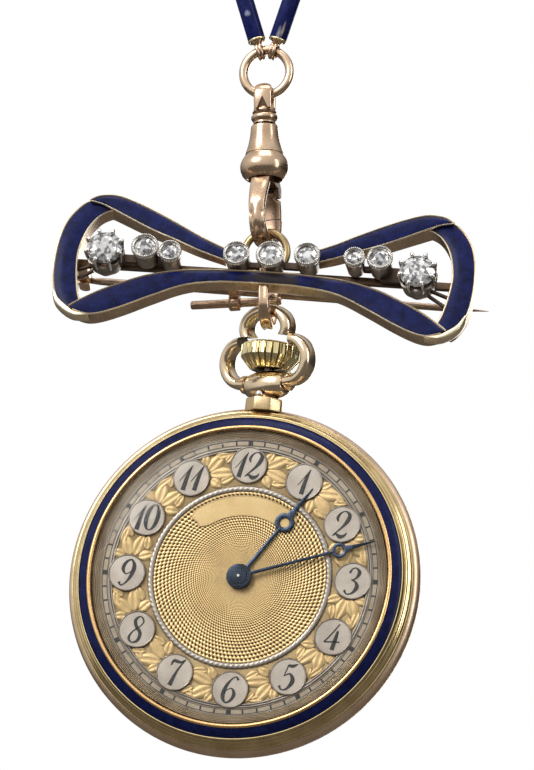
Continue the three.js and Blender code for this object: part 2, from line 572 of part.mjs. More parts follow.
function addCase(watch) {
  const caseMiddle = turned([
    [12.35, -0.68], [13.6, -0.68], [13.85, -0.5], [CASE_RADIUS, -0.15], [CASE_RADIUS, 0.2],
    [13.85, 0.55], [13.6, 0.75], [12.35, 0.75],
  ], CASE_SEGMENTS);
  const stemHole = rod([0, 0, 11], [0, 0, 15], STEM_RADIUS + RUN, 12);
  const hingeNotch = block([-14.3, 0.05, -1.7], [-13.1, 0.9, 1.7]);
  addTo(watch, 'case_middle', cut(caseMiddle, stemHole, hingeNotch), MATERIALS.roseGold);

  const bezel = turned([
    [12.4, -0.71], [12.4, -1.75], [11.78, -1.75], [11.78, -2.35], [11.98, -2.4], [12.15, -2.3], [12.15, -2.02],
    [12.84, -1.56], [12.84, -1.88], [12.95, -1.85], [13.2, -1.35], [13.58, -0.95], [13.58, -0.71],
  ], CASE_SEGMENTS);
  addTo(watch, 'bezel', bezel, MATERIALS.yellowGold);
  const enamel = turned([
    [12.15 + GAP, -2.02 - GAP], [12.84 - GAP, -1.56 - GAP], [12.84 - GAP, -1.86], [12.15 + GAP, -2.3],
  ], CASE_SEGMENTS);
  addTo(watch, 'bezel_enamel', enamel, MATERIALS.enamel);
  const crystal = turned([
    [0, -3.0], [4, -2.95], [8, -2.8], [11, -2.46], [11.73, -2.13], [11.73, -2.33], [11, -2.66],
    [8, -3.02], [4, -3.17], [0, -3.22],
  ], CASE_SEGMENTS);
  addTo(watch, 'crystal', crystal, MATERIALS.crystal);

  const backCover = turned([
    [0, 3.55], [3, 3.55], [7, 3.3], [10.5, 2.6], [12.6, 1.7], [13.45, 1.05], [13.45, 0.79],
    [12.75, 0.79], [12.2, 1.55], [10.3, 2.3], [6.9, 3.02], [3, 3.27], [0, 3.27],
  ], CASE_SEGMENTS);
  const hingeZ = [-1.5, -0.5, 0.5, 1.5];
  const hingeAt = [-13.6, 0.5];
  const barrel = (low, high, radius) => rod([...hingeAt, low], [...hingeAt, high], radius, 12);
  const leaf = block([-13.6, 0.72, hingeZ[1] + RUN], [-13.2, 1.0, hingeZ[2] - RUN]);
  const coverKnuckle = joined(backCover, barrel(hingeZ[1] + RUN, hingeZ[2] - RUN, 0.36), leaf);
  const pinHole = barrel(-3, 3, 0.15 + RUN);
  const knuckleRoom = [
    barrel(hingeZ[0] - RUN, hingeZ[1] + RUN, 0.36 + RUN), barrel(hingeZ[2] - RUN, hingeZ[3] + RUN, 0.36 + RUN),
  ];
  addTo(watch, 'back_cover', cut(coverKnuckle, pinHole, ...knuckleRoom), MATERIALS.yellowGold);
  const caseKnuckles = joined(
    barrel(hingeZ[0], hingeZ[1], 0.36), barrel(hingeZ[2], hingeZ[3], 0.36),
    block([-13.6, 0.2, hingeZ[0]], [-13.15, 0.5, hingeZ[1]]), block([-13.6, 0.2, hingeZ[2]], [-13.15, 0.5, hingeZ[3]]),
    block([-13.22, 0.12, hingeZ[0]], [-13.13, 0.42, hingeZ[3]]), barrel(hingeZ[0], hingeZ[3], 0.15),
  );
  addTo(watch, 'cover_hinge', caseKnuckles, MATERIALS.yellowGold);
}

function addPendant(watch) {
  const ballRadius = 1.2;
  const bowFrame = frameIn(watch, [0, 0, BOW_PIVOT_HEIGHT], BOW_TILT, 0, BOW_YAW);
  const ballTurn = new THREE.Matrix4().makeRotationZ(radians(BOW_YAW));
  const ballProfile = [
    [0, -1.85], [0.75, -1.8], [1.05, -1.3], [ballRadius, 0], [1.05, 1.3], [0.75, 1.8], [0, 1.85],
  ];
  const ball = turnedAcross(ballProfile, 16).applyMatrix4(ballTurn).translate(0, 0, PENDANT_HEIGHT);
  const collar = turnedUpright([
    [0, 13.75], [1.5, 14.02], [1.5, 14.6], [1.3, 14.85], [0.9, 15.1], [0, 15.1],
  ], 8);
  const stemBore = rod([0, 0, 12], [0, 0, 19], STEM_RADIUS + RUN, 12);
  const pinBore = rod([-3, 0, 0], [3, 0, 0], 0.36, 12).applyMatrix4(ballTurn)
    .translate(0, 0, BOW_PIVOT_HEIGHT);
  const rimClear = turned([[0, -3], [CASE_RADIUS + GAP, -3], [CASE_RADIUS + GAP, 3], [0, 3]], 72);
  addTo(watch, 'pendant', cut(joined(ball, collar), stemBore, pinBore, rimClear), MATERIALS.roseGold);

  const lobe = { x: 2.38, z: 1.7, outer: 2.12, inner: 1.22 };
  const top = { z: 4.38, outer: [2.55, 1.9], inner: [1.72, 0.95] };
  const halfDepth = BOW_DEPTH / 2;
  const round = (x, z, radii, reach) =>
    plate(polygon(arc([x, z], radii, 0, 360, 24).slice(0, -1)), -reach, reach);
  const lobes = (radius, reach) => [-1, 1].map((side) =>
    round(side * lobe.x, lobe.z, [radius, radius], reach));
  const outside = joined(...lobes(lobe.outer, halfDepth), round(0, top.z, top.outer, halfDepth));
  const inside = [
    ...lobes(lobe.inner, 2), round(0, top.z, top.inner, 2),
    block([-1.72, -2, -3], [1.72, 2, top.z]), block([-2.5, -2, 0.48], [2.5, 2, 3.72]),
    block([-1.9, -2, -3], [1.9, 2, 1]),
  ];
  const arms = [-1, 1].map((side) =>
    rod([side * 1.35, 0, 0], [side * 2.6, 0, 0], 0.28, 10));
  addTo(bowFrame, 'watch_bow', joined(cut(outside, ...inside), ...arms), MATERIALS.roseGold);
}

function addCrown(watch) {
  const fluted = [];
  for (let i = 0; i < CROWN_FLUTES; i += 1) {
    for (const [share, radius] of [[0, CROWN_RADIUS], [0.5, CROWN_RADIUS - 0.16]]) {
      const angle = (i + share) * 2 * Math.PI / CROWN_FLUTES;
      fluted.push([radius * Math.cos(angle), radius * Math.sin(angle)]);
    }
  }
  const band = new THREE.ExtrudeGeometry(polygon(fluted), { depth: 2.2, bevelEnabled: false })
    .translate(0, 0, 17.15);
  const limit = solid(turnedUpright([
    [0, 17.2], [1.6, 17.2], [CROWN_RADIUS + 0.02, 18.1], [CROWN_RADIUS + 0.02, 19.0],
    [CROWN_RADIUS - 0.25, 19.25], [0, 19.25],
  ], 32));
  const crown = geometryOf(solid(band).intersect(limit));
  const socket = rod([0, 0, 16.5], [0, 0, 18.7], STEM_RADIUS + GAP, 12);
  addTo(watch, 'crown', cut(crown, socket), MATERIALS.yellowGold);

  const stem = rod([0, 0, 8.2], [0, 0, 18.6], STEM_RADIUS, 12);
  const pinion = new THREE.ExtrudeGeometry(gearOutline(12, 1.0, 0.75), { depth: 0.9, bevelEnabled: false })
    .translate(0, 0, 8.7);
  addTo(watch, 'winding_stem', joined(stem, pinion), MATERIALS.steel);
}

// ---------------------------------------------------------------- dial and hands

function addDial(watch) {
  const face = frameIn(watch, [0, 0, 0], 0, DIAL_TURN, 0);
  const dial = turned([
    [0.75, -1.85], [11.0, -1.85], [11.7, -2.08], [11.7, -1.3], [11.2, -1.3], [11.2, -1.62], [0.75, -1.62],
  ], CASE_SEGMENTS);
  addTo(face, 'dial', dial, MATERIALS.dial);

  const hourTurn = frameIn(face, [0, 0, 0], 0, 36, 0);
  const minuteTurn = frameIn(face, [0, 0, 0], 0, 73.3, 0);
  const hand = (length, ringAt, ringRadius, width, front, back) => {
    const blade = polygon([
      [-width / 2, 0], [width / 2, 0], [width / 2, ringAt], [0.05, length], [-0.05, length], [-width / 2, ringAt],
    ]);
    const ring = disc(ringRadius, front, back, [0, ringAt], 0, 10);
    const eye = disc(ringRadius * 0.55, front - 1, back + 1, [0, ringAt], 0, 10);
    return cut(joined(plate(blade, front, back), ring, disc(1.04, front, back, [0, 0], 0, 12)), eye);
  };
  const hourPipe = disc(0.62, -2.04, -1.05, [0, 0], 0.45, 16);
  const hourWheel = disc(1.4, -1.2, -1.07, [0, 0], 0.5, 24);
  const hourHand = cut(
    joined(hand(8.97, 5.5, 0.74, 0.34, -2.1, -2.0), hourPipe, hourWheel), disc(0.45, -3, 0, [0, 0], 0, 16));
  addTo(hourTurn, 'hour_hand', hourHand, MATERIALS.bluedSteel);
  const minuteHand = cut(hand(11.1, 8.16, 0.6, 0.3, -2.3, -2.2), disc(0.3, -3, 0, [0, 0], 0, 12));
  addTo(minuteTurn, 'minute_hand', minuteHand, MATERIALS.bluedSteel);
  const cannon = disc(0.38, -2.18, -0.98, [0, 0], 0.2, 12);
  addTo(watch, 'cannon_pinion', cannon, MATERIALS.steel);
}

// ---------------------------------------------------------------- movement

function addMovement(watch) {
  const plateFront = -0.95;
  const bores = [CENTRE_WHEEL, THIRD_WHEEL, FOURTH_WHEEL, ESCAPE_WHEEL].map((wheel) =>
    disc(0.15 + RUN, -2, 1, wheel.at, 0, 10));
  const smallBores = [PALLET_PIVOT, BALANCE_AT].map((at) => disc(0.12 + RUN, -2, 1, at, 0, 10));
  const mainPlate = cut(
    disc(MOVEMENT_RADIUS, plateFront, 0, [0, 0], 0, 32), disc(0.3, -2, 1, [0, 0], 0, 12),
    disc(0.55, -2, 1, BARREL.at, 0, 12), block([-1.1, -1.2, 7.9], [1.1, 0.1, 13]), ...bores, ...smallBores,
  );
  addTo(watch, 'main_plate', mainPlate, MATERIALS.brass);

  const centre = trainWheel(CENTRE_WHEEL, {
    wheel: [0.08, 0.22], pinion: [0.4, 1.2], arbor: [-1.2, 1.45], pinionRadius: 0.72, arborRadius: 0.15,
  });
  addTo(watch, 'centre_wheel', centre, MATERIALS.brass);
  addTo(watch, 'third_wheel', trainWheel(THIRD_WHEEL, {
    wheel: [0.36, 0.5], pinion: [0.06, 0.36], arbor: [-0.6, 1.45], pinionRadius: 0.42,
  }), MATERIALS.brass);
  addTo(watch, 'fourth_wheel', trainWheel(FOURTH_WHEEL, {
    wheel: [0.72, 0.86], pinion: [0.34, 0.56], arbor: [-0.6, 1.45], pinionRadius: 0.42,
  }), MATERIALS.brass);
  const escapeShape = Array.from({ length: ESCAPE_WHEEL.teeth }, (_, i) => {
    const angle = i * 2 * Math.PI / ESCAPE_WHEEL.teeth;
    const at = (radius, turn) => [radius * Math.cos(angle + turn), radius * Math.sin(angle + turn)];
    return [at(ESCAPE_RADIUS - 0.4, -0.12), at(ESCAPE_RADIUS, 0.1), at(ESCAPE_RADIUS, 0.15), at(ESCAPE_RADIUS - 0.4, 0.14)];
  }).flat();
  const escape = joined(
    plate(polygon(escapeShape), 0.36, 0.5), plate(gearOutline(6, 0.26, 0.16), 0.5, 0.9),
    disc(0.12, -0.6, 1.45, [0, 0], 0, 10),
  ).translate(ESCAPE_WHEEL.at[0], 0, ESCAPE_WHEEL.at[1]);
  addTo(watch, 'escape_wheel', escape, MATERIALS.steel);

  const drum = turned([
    [0.5, 0.42], [3.75, 0.42], [3.75, 1.25], [3.6, 1.25], [3.6, 0.55], [0.5, 0.55],
  ], 24);
  const drumTeeth = cut(
    plate(gearOutline(BARREL.teeth, 4.08, 3.86), 0.42, 0.6), disc(3.65, 0, 1, [0, 0], 0, 24));
  addTo(watch, 'barrel', joined(drum, drumTeeth).translate(BARREL.at[0], 0, BARREL.at[1]), MATERIALS.brass);
  const mainspring = spiral(0.75, 3.45, 5, 0.16, 0.62, 1.15).translate(BARREL.at[0], 0, BARREL.at[1]);
  addTo(watch, 'mainspring', mainspring, MATERIALS.steel);
  const ratchet = joined(
    plate(gearOutline(RATCHET.teeth, 3.02, 2.8), 1.72, 1.92), disc(0.4, -0.6, 1.9, [0, 0], 0, 12),
  ).translate(BARREL.at[0], 0, BARREL.at[1]);
  addTo(watch, 'ratchet_wheel', ratchet, MATERIALS.steel);
  const crownWheel = cut(
    plate(gearOutline(CROWN_WHEEL.teeth, 2.02, 1.78), 1.15, 1.92), disc(0.35, 1, 2, [0, 0], 0, 12),
  ).translate(CROWN_WHEEL.at[0], 0, CROWN_WHEEL.at[1]);
  addTo(watch, 'crown_wheel', crownWheel, MATERIALS.steel);

  addBridges(watch);
  addEscapement(watch);
}

// A bridge stands on the main plate on round feet and spans the wheels' upper pivots.
function addBridges(watch) {
  const level = [1.35, 1.62];
  const rimStart = 24;
  const bridgeOutline = polygon([
    ...arc([0, 0], [11.4, 11.4], -rimStart, 200, 26), [-7.4, -2.4], [-1.5, -1.6], [1.6, -3.2], [2.2, -5.6], [5.6, -6.6],
  ]);
  const feet = [[9.6, 2], [-9.5, -1.9], [-6.2, 8.2], [6.3, 7.6]].map((at) => disc(0.8, 0.03, 1.4, at, 0, 14));
  const pivots = [CENTRE_WHEEL, THIRD_WHEEL, FOURTH_WHEEL, ESCAPE_WHEEL].map((wheel) =>
    disc(0.15 + RUN, 0, 2, wheel.at, 0, 10));
  const crownOpening = disc(2.35, 1, 2, CROWN_WHEEL.at, 0, 24);
  const crownPost = joined(
    disc(0.28, 1.0, 1.9, CROWN_WHEEL.at, 0, 12), block([-3.4, 0.98, 7.25], [0.1, 1.1, 7.65]),
    disc(0.3, 0.98, 1.5, [-3.35, 7.45], 0, 12),
  );
  const bridge = joined(
    cut(plate(bridgeOutline, ...level), crownOpening, disc(0.4 + RUN, 0, 2, BARREL.at, 0, 12), ...pivots),
    ...feet, crownPost,
  );
  addTo(watch, 'train_bridge', bridge, MATERIALS.brass);

  const footAt = [-8.4, -6.9];
  const along = new THREE.Vector2(footAt[0] - BALANCE_AT[0], footAt[1] - BALANCE_AT[1]).normalize();
  const across = [-along.y * 0.8, along.x * 0.8];
  const cockOutline = polygon([
    [BALANCE_AT[0] + across[0] + along.x * -0.6, BALANCE_AT[1] + across[1] - along.y * 0.6],
    [BALANCE_AT[0] - across[0] + along.x * -0.6, BALANCE_AT[1] - across[1] - along.y * 0.6],
    [footAt[0] - 1.2 * across[0], footAt[1] - 1.2 * across[1]],
    [footAt[0] + 1.2 * across[0], footAt[1] + 1.2 * across[1]],
  ]);
  const cock = cut(
    joined(plate(cockOutline, 1.35, 1.62), disc(1.0, 0.03, 1.62, footAt, 0, 16)),
    disc(0.12 + RUN, 0, 2, BALANCE_AT, 0, 10),
  );
  addTo(watch, 'balance_cock', cock, MATERIALS.brass);
}

function addEscapement(watch) {
  const towardsBalance = Math.atan2(BALANCE_AT[1] - PALLET_PIVOT[1], BALANCE_AT[0] - PALLET_PIVOT[0]);
  const lever = polygon([
    [0.9, -1.25], [0.7, -1.25], [0.15, -0.2], [-2.9, -0.12], [-3.25, -0.3], [-3.25, -0.14], [-3.0, 0],
    [-3.25, 0.14], [-3.25, 0.3], [-2.9, 0.12], [0.15, 0.2], [0.7, 1.25], [0.9, 1.25], [0.45, 0],
  ]);
  const pallet = joined(plate(lever, 0.36, 0.48), disc(0.12, -0.6, 0.9, [0, 0], 0, 10))
    .rotateY(Math.PI - towardsBalance).translate(PALLET_PIVOT[0], 0, PALLET_PIVOT[1]);
  addTo(watch, 'pallet_fork', pallet, MATERIALS.steel);

  const rim = disc(BALANCE_RADIUS, 0.9, 1.1, [0, 0], BALANCE_RADIUS - 0.4, 20);
  const arm = block([-BALANCE_RADIUS + 0.2, 0.92, -0.18], [BALANCE_RADIUS - 0.2, 1.08, 0.18]);
  const staff = disc(0.12, -0.6, 1.5, [0, 0], 0, 10);
  const roller = disc(0.5, 0.56, 0.7, [0, 0], 0, 16);
  const balance = joined(rim, arm, staff, roller).translate(BALANCE_AT[0], 0, BALANCE_AT[1]);
  addTo(watch, 'balance_wheel', balance, MATERIALS.brass);

  const hairspring = spiral(0.25, 1.7, 4, 0.06, 1.18, 1.28).translate(BALANCE_AT[0], 0, BALANCE_AT[1]);
  addTo(watch, 'hairspring', hairspring, MATERIALS.bluedSteel);
}

// ---------------------------------------------------------------- assembly

addChain();
addClasp();
addBrooch();
const watch = frameIn(fobWatch, WATCH_CENTRE, 0, WATCH_SWING, 0);
addCase(watch);
addPendant(watch);
addCrown(watch);
addDial(watch);
addMovement(watch);

export default fobWatch;
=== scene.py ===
"""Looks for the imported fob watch: gold, enamel, stones, dial and hands, built round the CAD frame.
Pieces are modelled in millimetres, each in the frame of the part that it belongs to."""
import json
import math

import bmesh
import bpy
from mathutils import Matrix, Vector


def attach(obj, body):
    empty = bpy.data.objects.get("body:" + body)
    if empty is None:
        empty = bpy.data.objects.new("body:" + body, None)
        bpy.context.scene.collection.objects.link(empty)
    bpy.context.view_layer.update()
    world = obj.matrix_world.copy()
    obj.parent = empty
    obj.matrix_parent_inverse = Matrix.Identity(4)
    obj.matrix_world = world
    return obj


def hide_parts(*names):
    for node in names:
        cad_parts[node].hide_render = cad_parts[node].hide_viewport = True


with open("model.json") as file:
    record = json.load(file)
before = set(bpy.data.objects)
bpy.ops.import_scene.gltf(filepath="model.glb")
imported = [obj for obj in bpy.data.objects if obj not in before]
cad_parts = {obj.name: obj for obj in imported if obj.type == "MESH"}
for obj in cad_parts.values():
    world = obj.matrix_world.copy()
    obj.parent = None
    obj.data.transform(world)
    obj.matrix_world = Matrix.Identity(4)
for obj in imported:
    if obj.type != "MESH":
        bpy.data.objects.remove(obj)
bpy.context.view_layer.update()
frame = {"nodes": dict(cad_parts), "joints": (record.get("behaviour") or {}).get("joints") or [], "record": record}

# ---------------------------------------------------------------- sizes and frames

MM = 0.001
RIBBON_CENTRE_X = -0.5
DIAL_TURN = math.radians(-1.87)
JOINTS = {joint["name"]: joint for joint in frame["joints"]}
MOUNTS = {mount["name"]: mount for mount in frame["record"]["mounts"]}


def joint_point(name):
    return Vector(JOINTS[name]["pos_m"]) / MM


def joint_axis(name):
    return Vector(JOINTS[name]["axis"]).normalized()


def axes(origin, x_axis, z_axis):
    y_axis = z_axis.cross(x_axis)
    turn = Matrix((x_axis, y_axis, z_axis)).transposed().to_4x4()
    return Matrix.Translation(origin) @ turn


UP = Vector((0, 0, 1))
ROW = Matrix.Identity(4)
CLASP = Matrix.Translation((joint_point("clasp_swivel").x, 0, 0))
HOOK = axes(Vector((joint_point("clasp_swivel").x, 0, 0)), joint_axis("clasp_gate_pivot"), UP)
watch_up = joint_axis("crown_turn")
WATCH = axes(joint_point("hour_hand_turn"), Vector((0, 1, 0)).cross(watch_up), watch_up)
FACE = WATCH @ Matrix.Rotation(DIAL_TURN, 4, "Y")
pin_axis = joint_axis("pin_opening")
brooch_across = Vector(MOUNTS["brooch_pin"]["axis"]).normalized()
PIN_PIVOT = Vector((-15.3, 5.1, -0.19))
BROOCH = axes(Vector(), brooch_across, pin_axis)
BROOCH = Matrix.Translation(joint_point("pin_opening") - BROOCH @ PIN_PIVOT) @ BROOCH
bow_up = (joint_point("watch_swing") - joint_point("bow_pivot")).normalized()
BOW = axes(joint_point("bow_pivot"), joint_axis("bow_pivot"), bow_up)
LOOP = Matrix.Translation(joint_point("brooch_tilt"))

# ---------------------------------------------------------------- shapes: (points, faces)


def moved(shape, matrix):
    points, faces = shape
    return [tuple(matrix @ Vector(point)) for point in points], faces


def shifted(shape, x=0.0, y=0.0, z=0.0):
    return moved(shape, Matrix.Translation((x, y, z)))


def together(*shapes):
    points, faces = [], []
    for more_points, more_faces in shapes:
        start = len(points)
        points += list(more_points)
        faces += [tuple(start + index for index in face) for face in more_faces]
    return points, faces


def grid(rows, columns, point_at, wrap_rows=False, wrap_columns=False):
    """Quads over point_at(row, column)."""
    points = [tuple(point_at(row, column)) for row in range(rows) for column in range(columns)]
    faces = []
    for row in range(rows if wrap_rows else rows - 1):
        for column in range(columns if wrap_columns else columns - 1):
            next_row = (row + 1) % rows
            next_column = (column + 1) % columns
            faces.append((row * columns + column, row * columns + next_column,
                          next_row * columns + next_column, next_row * columns + column))
    return points, faces


def capped(rows, columns, point_at):
    """A grid closed round its columns, with a face over each end."""
    points, faces = grid(rows, columns, point_at, wrap_columns=True)
    last = (rows - 1) * columns
    return points, faces + [tuple(reversed(range(columns))), tuple(range(last, last + columns))]


def lathe(profile, segments=96, axis="Y", ripple=None):
    """A profile of (radius, height) points turned about an axis. Ends on the axis are closed."""
    on_axis = profile[0][0] < 1e-6 and profile[-1][0] < 1e-6
    ring = profile[1:-1] if on_axis else profile

    def place(radius, height, angle):
        if ripple:
            radius += ripple(radius, height, angle)
        across, along = radius * math.cos(angle), radius * math.sin(angle)
        if axis == "Y":
            return across, height, along
        if axis == "Z":
            return across, along, height
        return height, across, along

    def point_at(row, column):
        radius, height = ring[column]
        return place(radius, height, 2 * math.pi * row / segments)

    points, faces = grid(segments, len(ring), point_at, wrap_rows=True, wrap_columns=not on_axis)
    if on_axis:
        for end, column in ((profile[0], 0), (profile[-1], len(ring) - 1)):
            points.append(place(0, end[1], 0))
            tip = len(points) - 1
            for row in range(segments):
                faces.append((tip, row * len(ring) + column, (row + 1) % segments * len(ring) + column))
    return points, faces


def smooth_line(points, steps=8):
    """Catmull-Rom through points of any length."""
    last = len(points) - 1
    result = []
    for index in range(last):
        around = [points[min(max(index + shift, 0), last)] for shift in (-1, 0, 1, 2)]
        for step in range(steps):
            t = step / steps
            weights = (-t + 2 * t * t - t ** 3, 2 - 5 * t * t + 3 * t ** 3,
                       t + 4 * t * t - 3 * t ** 3, -t * t + t ** 3)
            result.append(tuple(sum(w * p[k] for w, p in zip(weights, around)) / 2
                                for k in range(len(points[0]))))
    return result + [tuple(points[-1])]


def arc(centre, radii, start, end, steps):
    """Points on an ellipse, from one angle to another in degrees."""
    result = []
    for step in range(steps + 1):
        angle = math.radians(start + (end - start) * step / steps)
        result.append((centre[0] + radii[0] * math.cos(angle), centre[1] + radii[1] * math.sin(angle)))
    return result


def circle(radius, count, offset=0.0):
    """Points evenly round a circle, the first one `offset` steps on."""
    step = 360 / count
    return arc((0, 0), (radius, radius), offset * step, (offset + count - 1) * step, count - 1)


def side_line(points, x=0.0):
    """(y, z) points as a line at one x."""
    return [(x, y, z) for y, z in points]


def front_line(points, y=0.0):
    """(x, z) points as a line at one y."""
    return [(x, y, z) for x, z in points]


def prism(outline, front, back):
    """An (x, z) outline, solid from y = front to y = back."""
    ends = (front_line(outline, front), front_line(outline, back))
    return capped(2, len(outline), lambda row, column: ends[row][column])


def side_prism(outline, left, right):
    """A (y, z) outline, solid from x = left to x = right."""
    points, faces = prism(outline, left, right)
    return [(y, x, z) for x, y, z in points], faces


def flat_prism(outline, low, high):
    """An (x, y) outline, solid from z = low to z = high."""
    points, faces = prism(outline, low, high)
    return [(x, z, y) for x, y, z in points], faces


def box_shape(low, high):
    outline = [(low[0], low[2]), (high[0], low[2]), (high[0], high[2]), (low[0], high[2])]
    return prism(outline, low[1], high[1])


def oval_section(width, depth, corner=2.0, count=16):
    """A superellipse: corner 2 is an ellipse, more is squarer."""
    result = []
    for index in range(count):
        angle = 2 * math.pi * index / count
        c, s = math.cos(angle), math.sin(angle)
        result.append((width / 2 * math.copysign(abs(c) ** (2 / corner), c),
                       depth / 2 * math.copysign(abs(s) ** (2 / corner), s)))
    return result


def sweep(path, section, side=(0, 1, 0), closed=False):
    """Carries a section along a path. Its first direction lies across the path, its second along side."""
    path = [Vector(point) for point in path]
    side = Vector(side)
    count = len(path)
    rings = []
    for index, point in enumerate(path):
        before = path[index - 1] if index or closed else point
        after = path[(index + 1) % count] if index < count - 1 or closed else point
        along = (after - before).normalized()
        across = side.cross(along).normalized()
        lift = along.cross(across)
        shape = section(index / max(1, count - 1)) if callable(section) else section
        rings.append([point + across * u + lift * v for u, v in shape])
    size = len(rings[0])

    def point_at(row, column):
        return rings[row][column]

    if closed:
        return grid(count, size, point_at, wrap_rows=True, wrap_columns=True)
    return capped(count, size, point_at)


def rod(start, end, radius, sides=24, end_radius=None):
    end_radius = radius if end_radius is None else end_radius
    start, end = Vector(start), Vector(end)
    along = (end - start).normalized()
    side = (0, 1, 0) if abs(along.y) < 0.9 else (1, 0, 0)

    def section(t):
        width = 2 * (radius + (end_radius - radius) * t)
        return oval_section(width, width, count=sides)

    return sweep([start, end], section, side)


def torus(radius, wire, centre=(0, 0, 0), rings=72, sides=20, axis="Y"):
    section = [(radius + across, along) for across, along in circle(wire, sides)]
    return shifted(lathe(section, rings, axis), *centre)


def turned(inner, outer, low, high, segments, axis="Y", chamfer=None):
    """A bar or tube about an axis, its outer corners cut by chamfer (across, along)."""
    wall = [(outer, low), (outer, high)]
    if chamfer:
        across, along = chamfer
        wall = [(outer - across, low), (outer, low + along), (outer, high - along), (outer - across, high)]
    return lathe([(inner, low), *wall, (inner, high)], segments, axis)


def ball(centre, radius, segments=10, rings=6):
    profile = arc((0, 0), (radius, radius), -90, 90, rings)
    profile[0], profile[-1] = (0, -radius), (0, radius)
    return shifted(lathe(profile, segments), *centre)


def fix_normals(mesh):
    work = bmesh.new()
    work.from_mesh(mesh)
    bmesh.ops.recalc_face_normals(work, faces=work.faces)
    work.to_mesh(mesh)
    work.free()


def without(shape, tool):
    """A closed shape with another one cut away."""
    objects = []
    for points, faces in (shape, tool):
        mesh = bpy.data.meshes.new("tool")
        mesh.from_pydata(points, [], faces)
        fix_normals(mesh)
        made = bpy.data.objects.new("tool", mesh)
        bpy.context.scene.collection.objects.link(made)
        objects.append(made)
    modifier = objects[0].modifiers.new("cut", "BOOLEAN")
    modifier.operation = "DIFFERENCE"
    modifier.solver = "EXACT"
    modifier.object = objects[1]
    bpy.context.view_layer.update()
    result = objects[0].evaluated_get(bpy.context.evaluated_depsgraph_get()).to_mesh()
    points = [tuple(vertex.co) for vertex in result.vertices]
    faces = [tuple(face.vertices) for face in result.polygons]
    for made in objects:
        mesh = made.data
        bpy.data.objects.remove(made)
        bpy.data.meshes.remove(mesh)
    return points, faces


# ---------------------------------------------------------------- pieces

WELD_DISTANCE = 1e-5
BEVEL_ANGLE = math.radians(30)


def add_piece(name, parts, where, body, slot, replaces=(), bevel=0.0, sharp=40, flat=False):
    """One object from (shape, material) parts, in millimetres in the frame `where`."""
    mesh = bpy.data.meshes.new(name)
    points, faces = together(*[shape for shape, _ in parts])
    indices = []
    for number, (shape, material) in enumerate(parts):
        indices += [number] * len(shape[1])
        mesh.materials.append(material)
    mesh.from_pydata(points, [], faces)
    mesh.polygons.foreach_set("material_index", indices)
    work = bmesh.new()
    work.from_mesh(mesh)
    bmesh.ops.remove_doubles(work, verts=work.verts, dist=WELD_DISTANCE)
    bmesh.ops.recalc_face_normals(work, faces=work.faces)

    def fold(edge, otherwise):
        return edge.calc_face_angle(0) if len(edge.link_faces) == 2 else otherwise

    if bevel:
        corners = [edge for edge in work.edges if fold(edge, 0.0) > BEVEL_ANGLE]
        bmesh.ops.bevel(work, geom=corners, offset=bevel, segments=2, profile=0.6,
                        affect="EDGES", clamp_overlap=True)
    for face in work.faces:
        face.smooth = not flat
    for edge in work.edges:
        edge.smooth = fold(edge, math.pi) < math.radians(sharp)
    work.to_mesh(mesh)
    work.free()
    piece = bpy.data.objects.new(name, mesh)
    bpy.context.scene.collection.objects.link(piece)
    piece.matrix_world = Matrix.Scale(MM, 4) @ where
    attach(piece, body)
    if replaces:
        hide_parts(*replaces)
    return piece


def add_brooch_part(name, parts, slot, replaces=(), **settings):
    return add_piece(name, parts, BROOCH, "brooch", slot, replaces, **settings)


def add_case_part(name, parts, slot, replaces=(), **settings):
    return add_piece(name, parts, WATCH, "watch_case", slot, replaces, **settings)


def add_dial_part(name, parts, replaces=(), **settings):
    return add_piece(name, parts, FACE, "watch_case", "dial", replaces, **settings)


# ---------------------------------------------------------------- materials


def scaled(colour, shares):
    return tuple(value * share for value, share in zip(colour, shares))


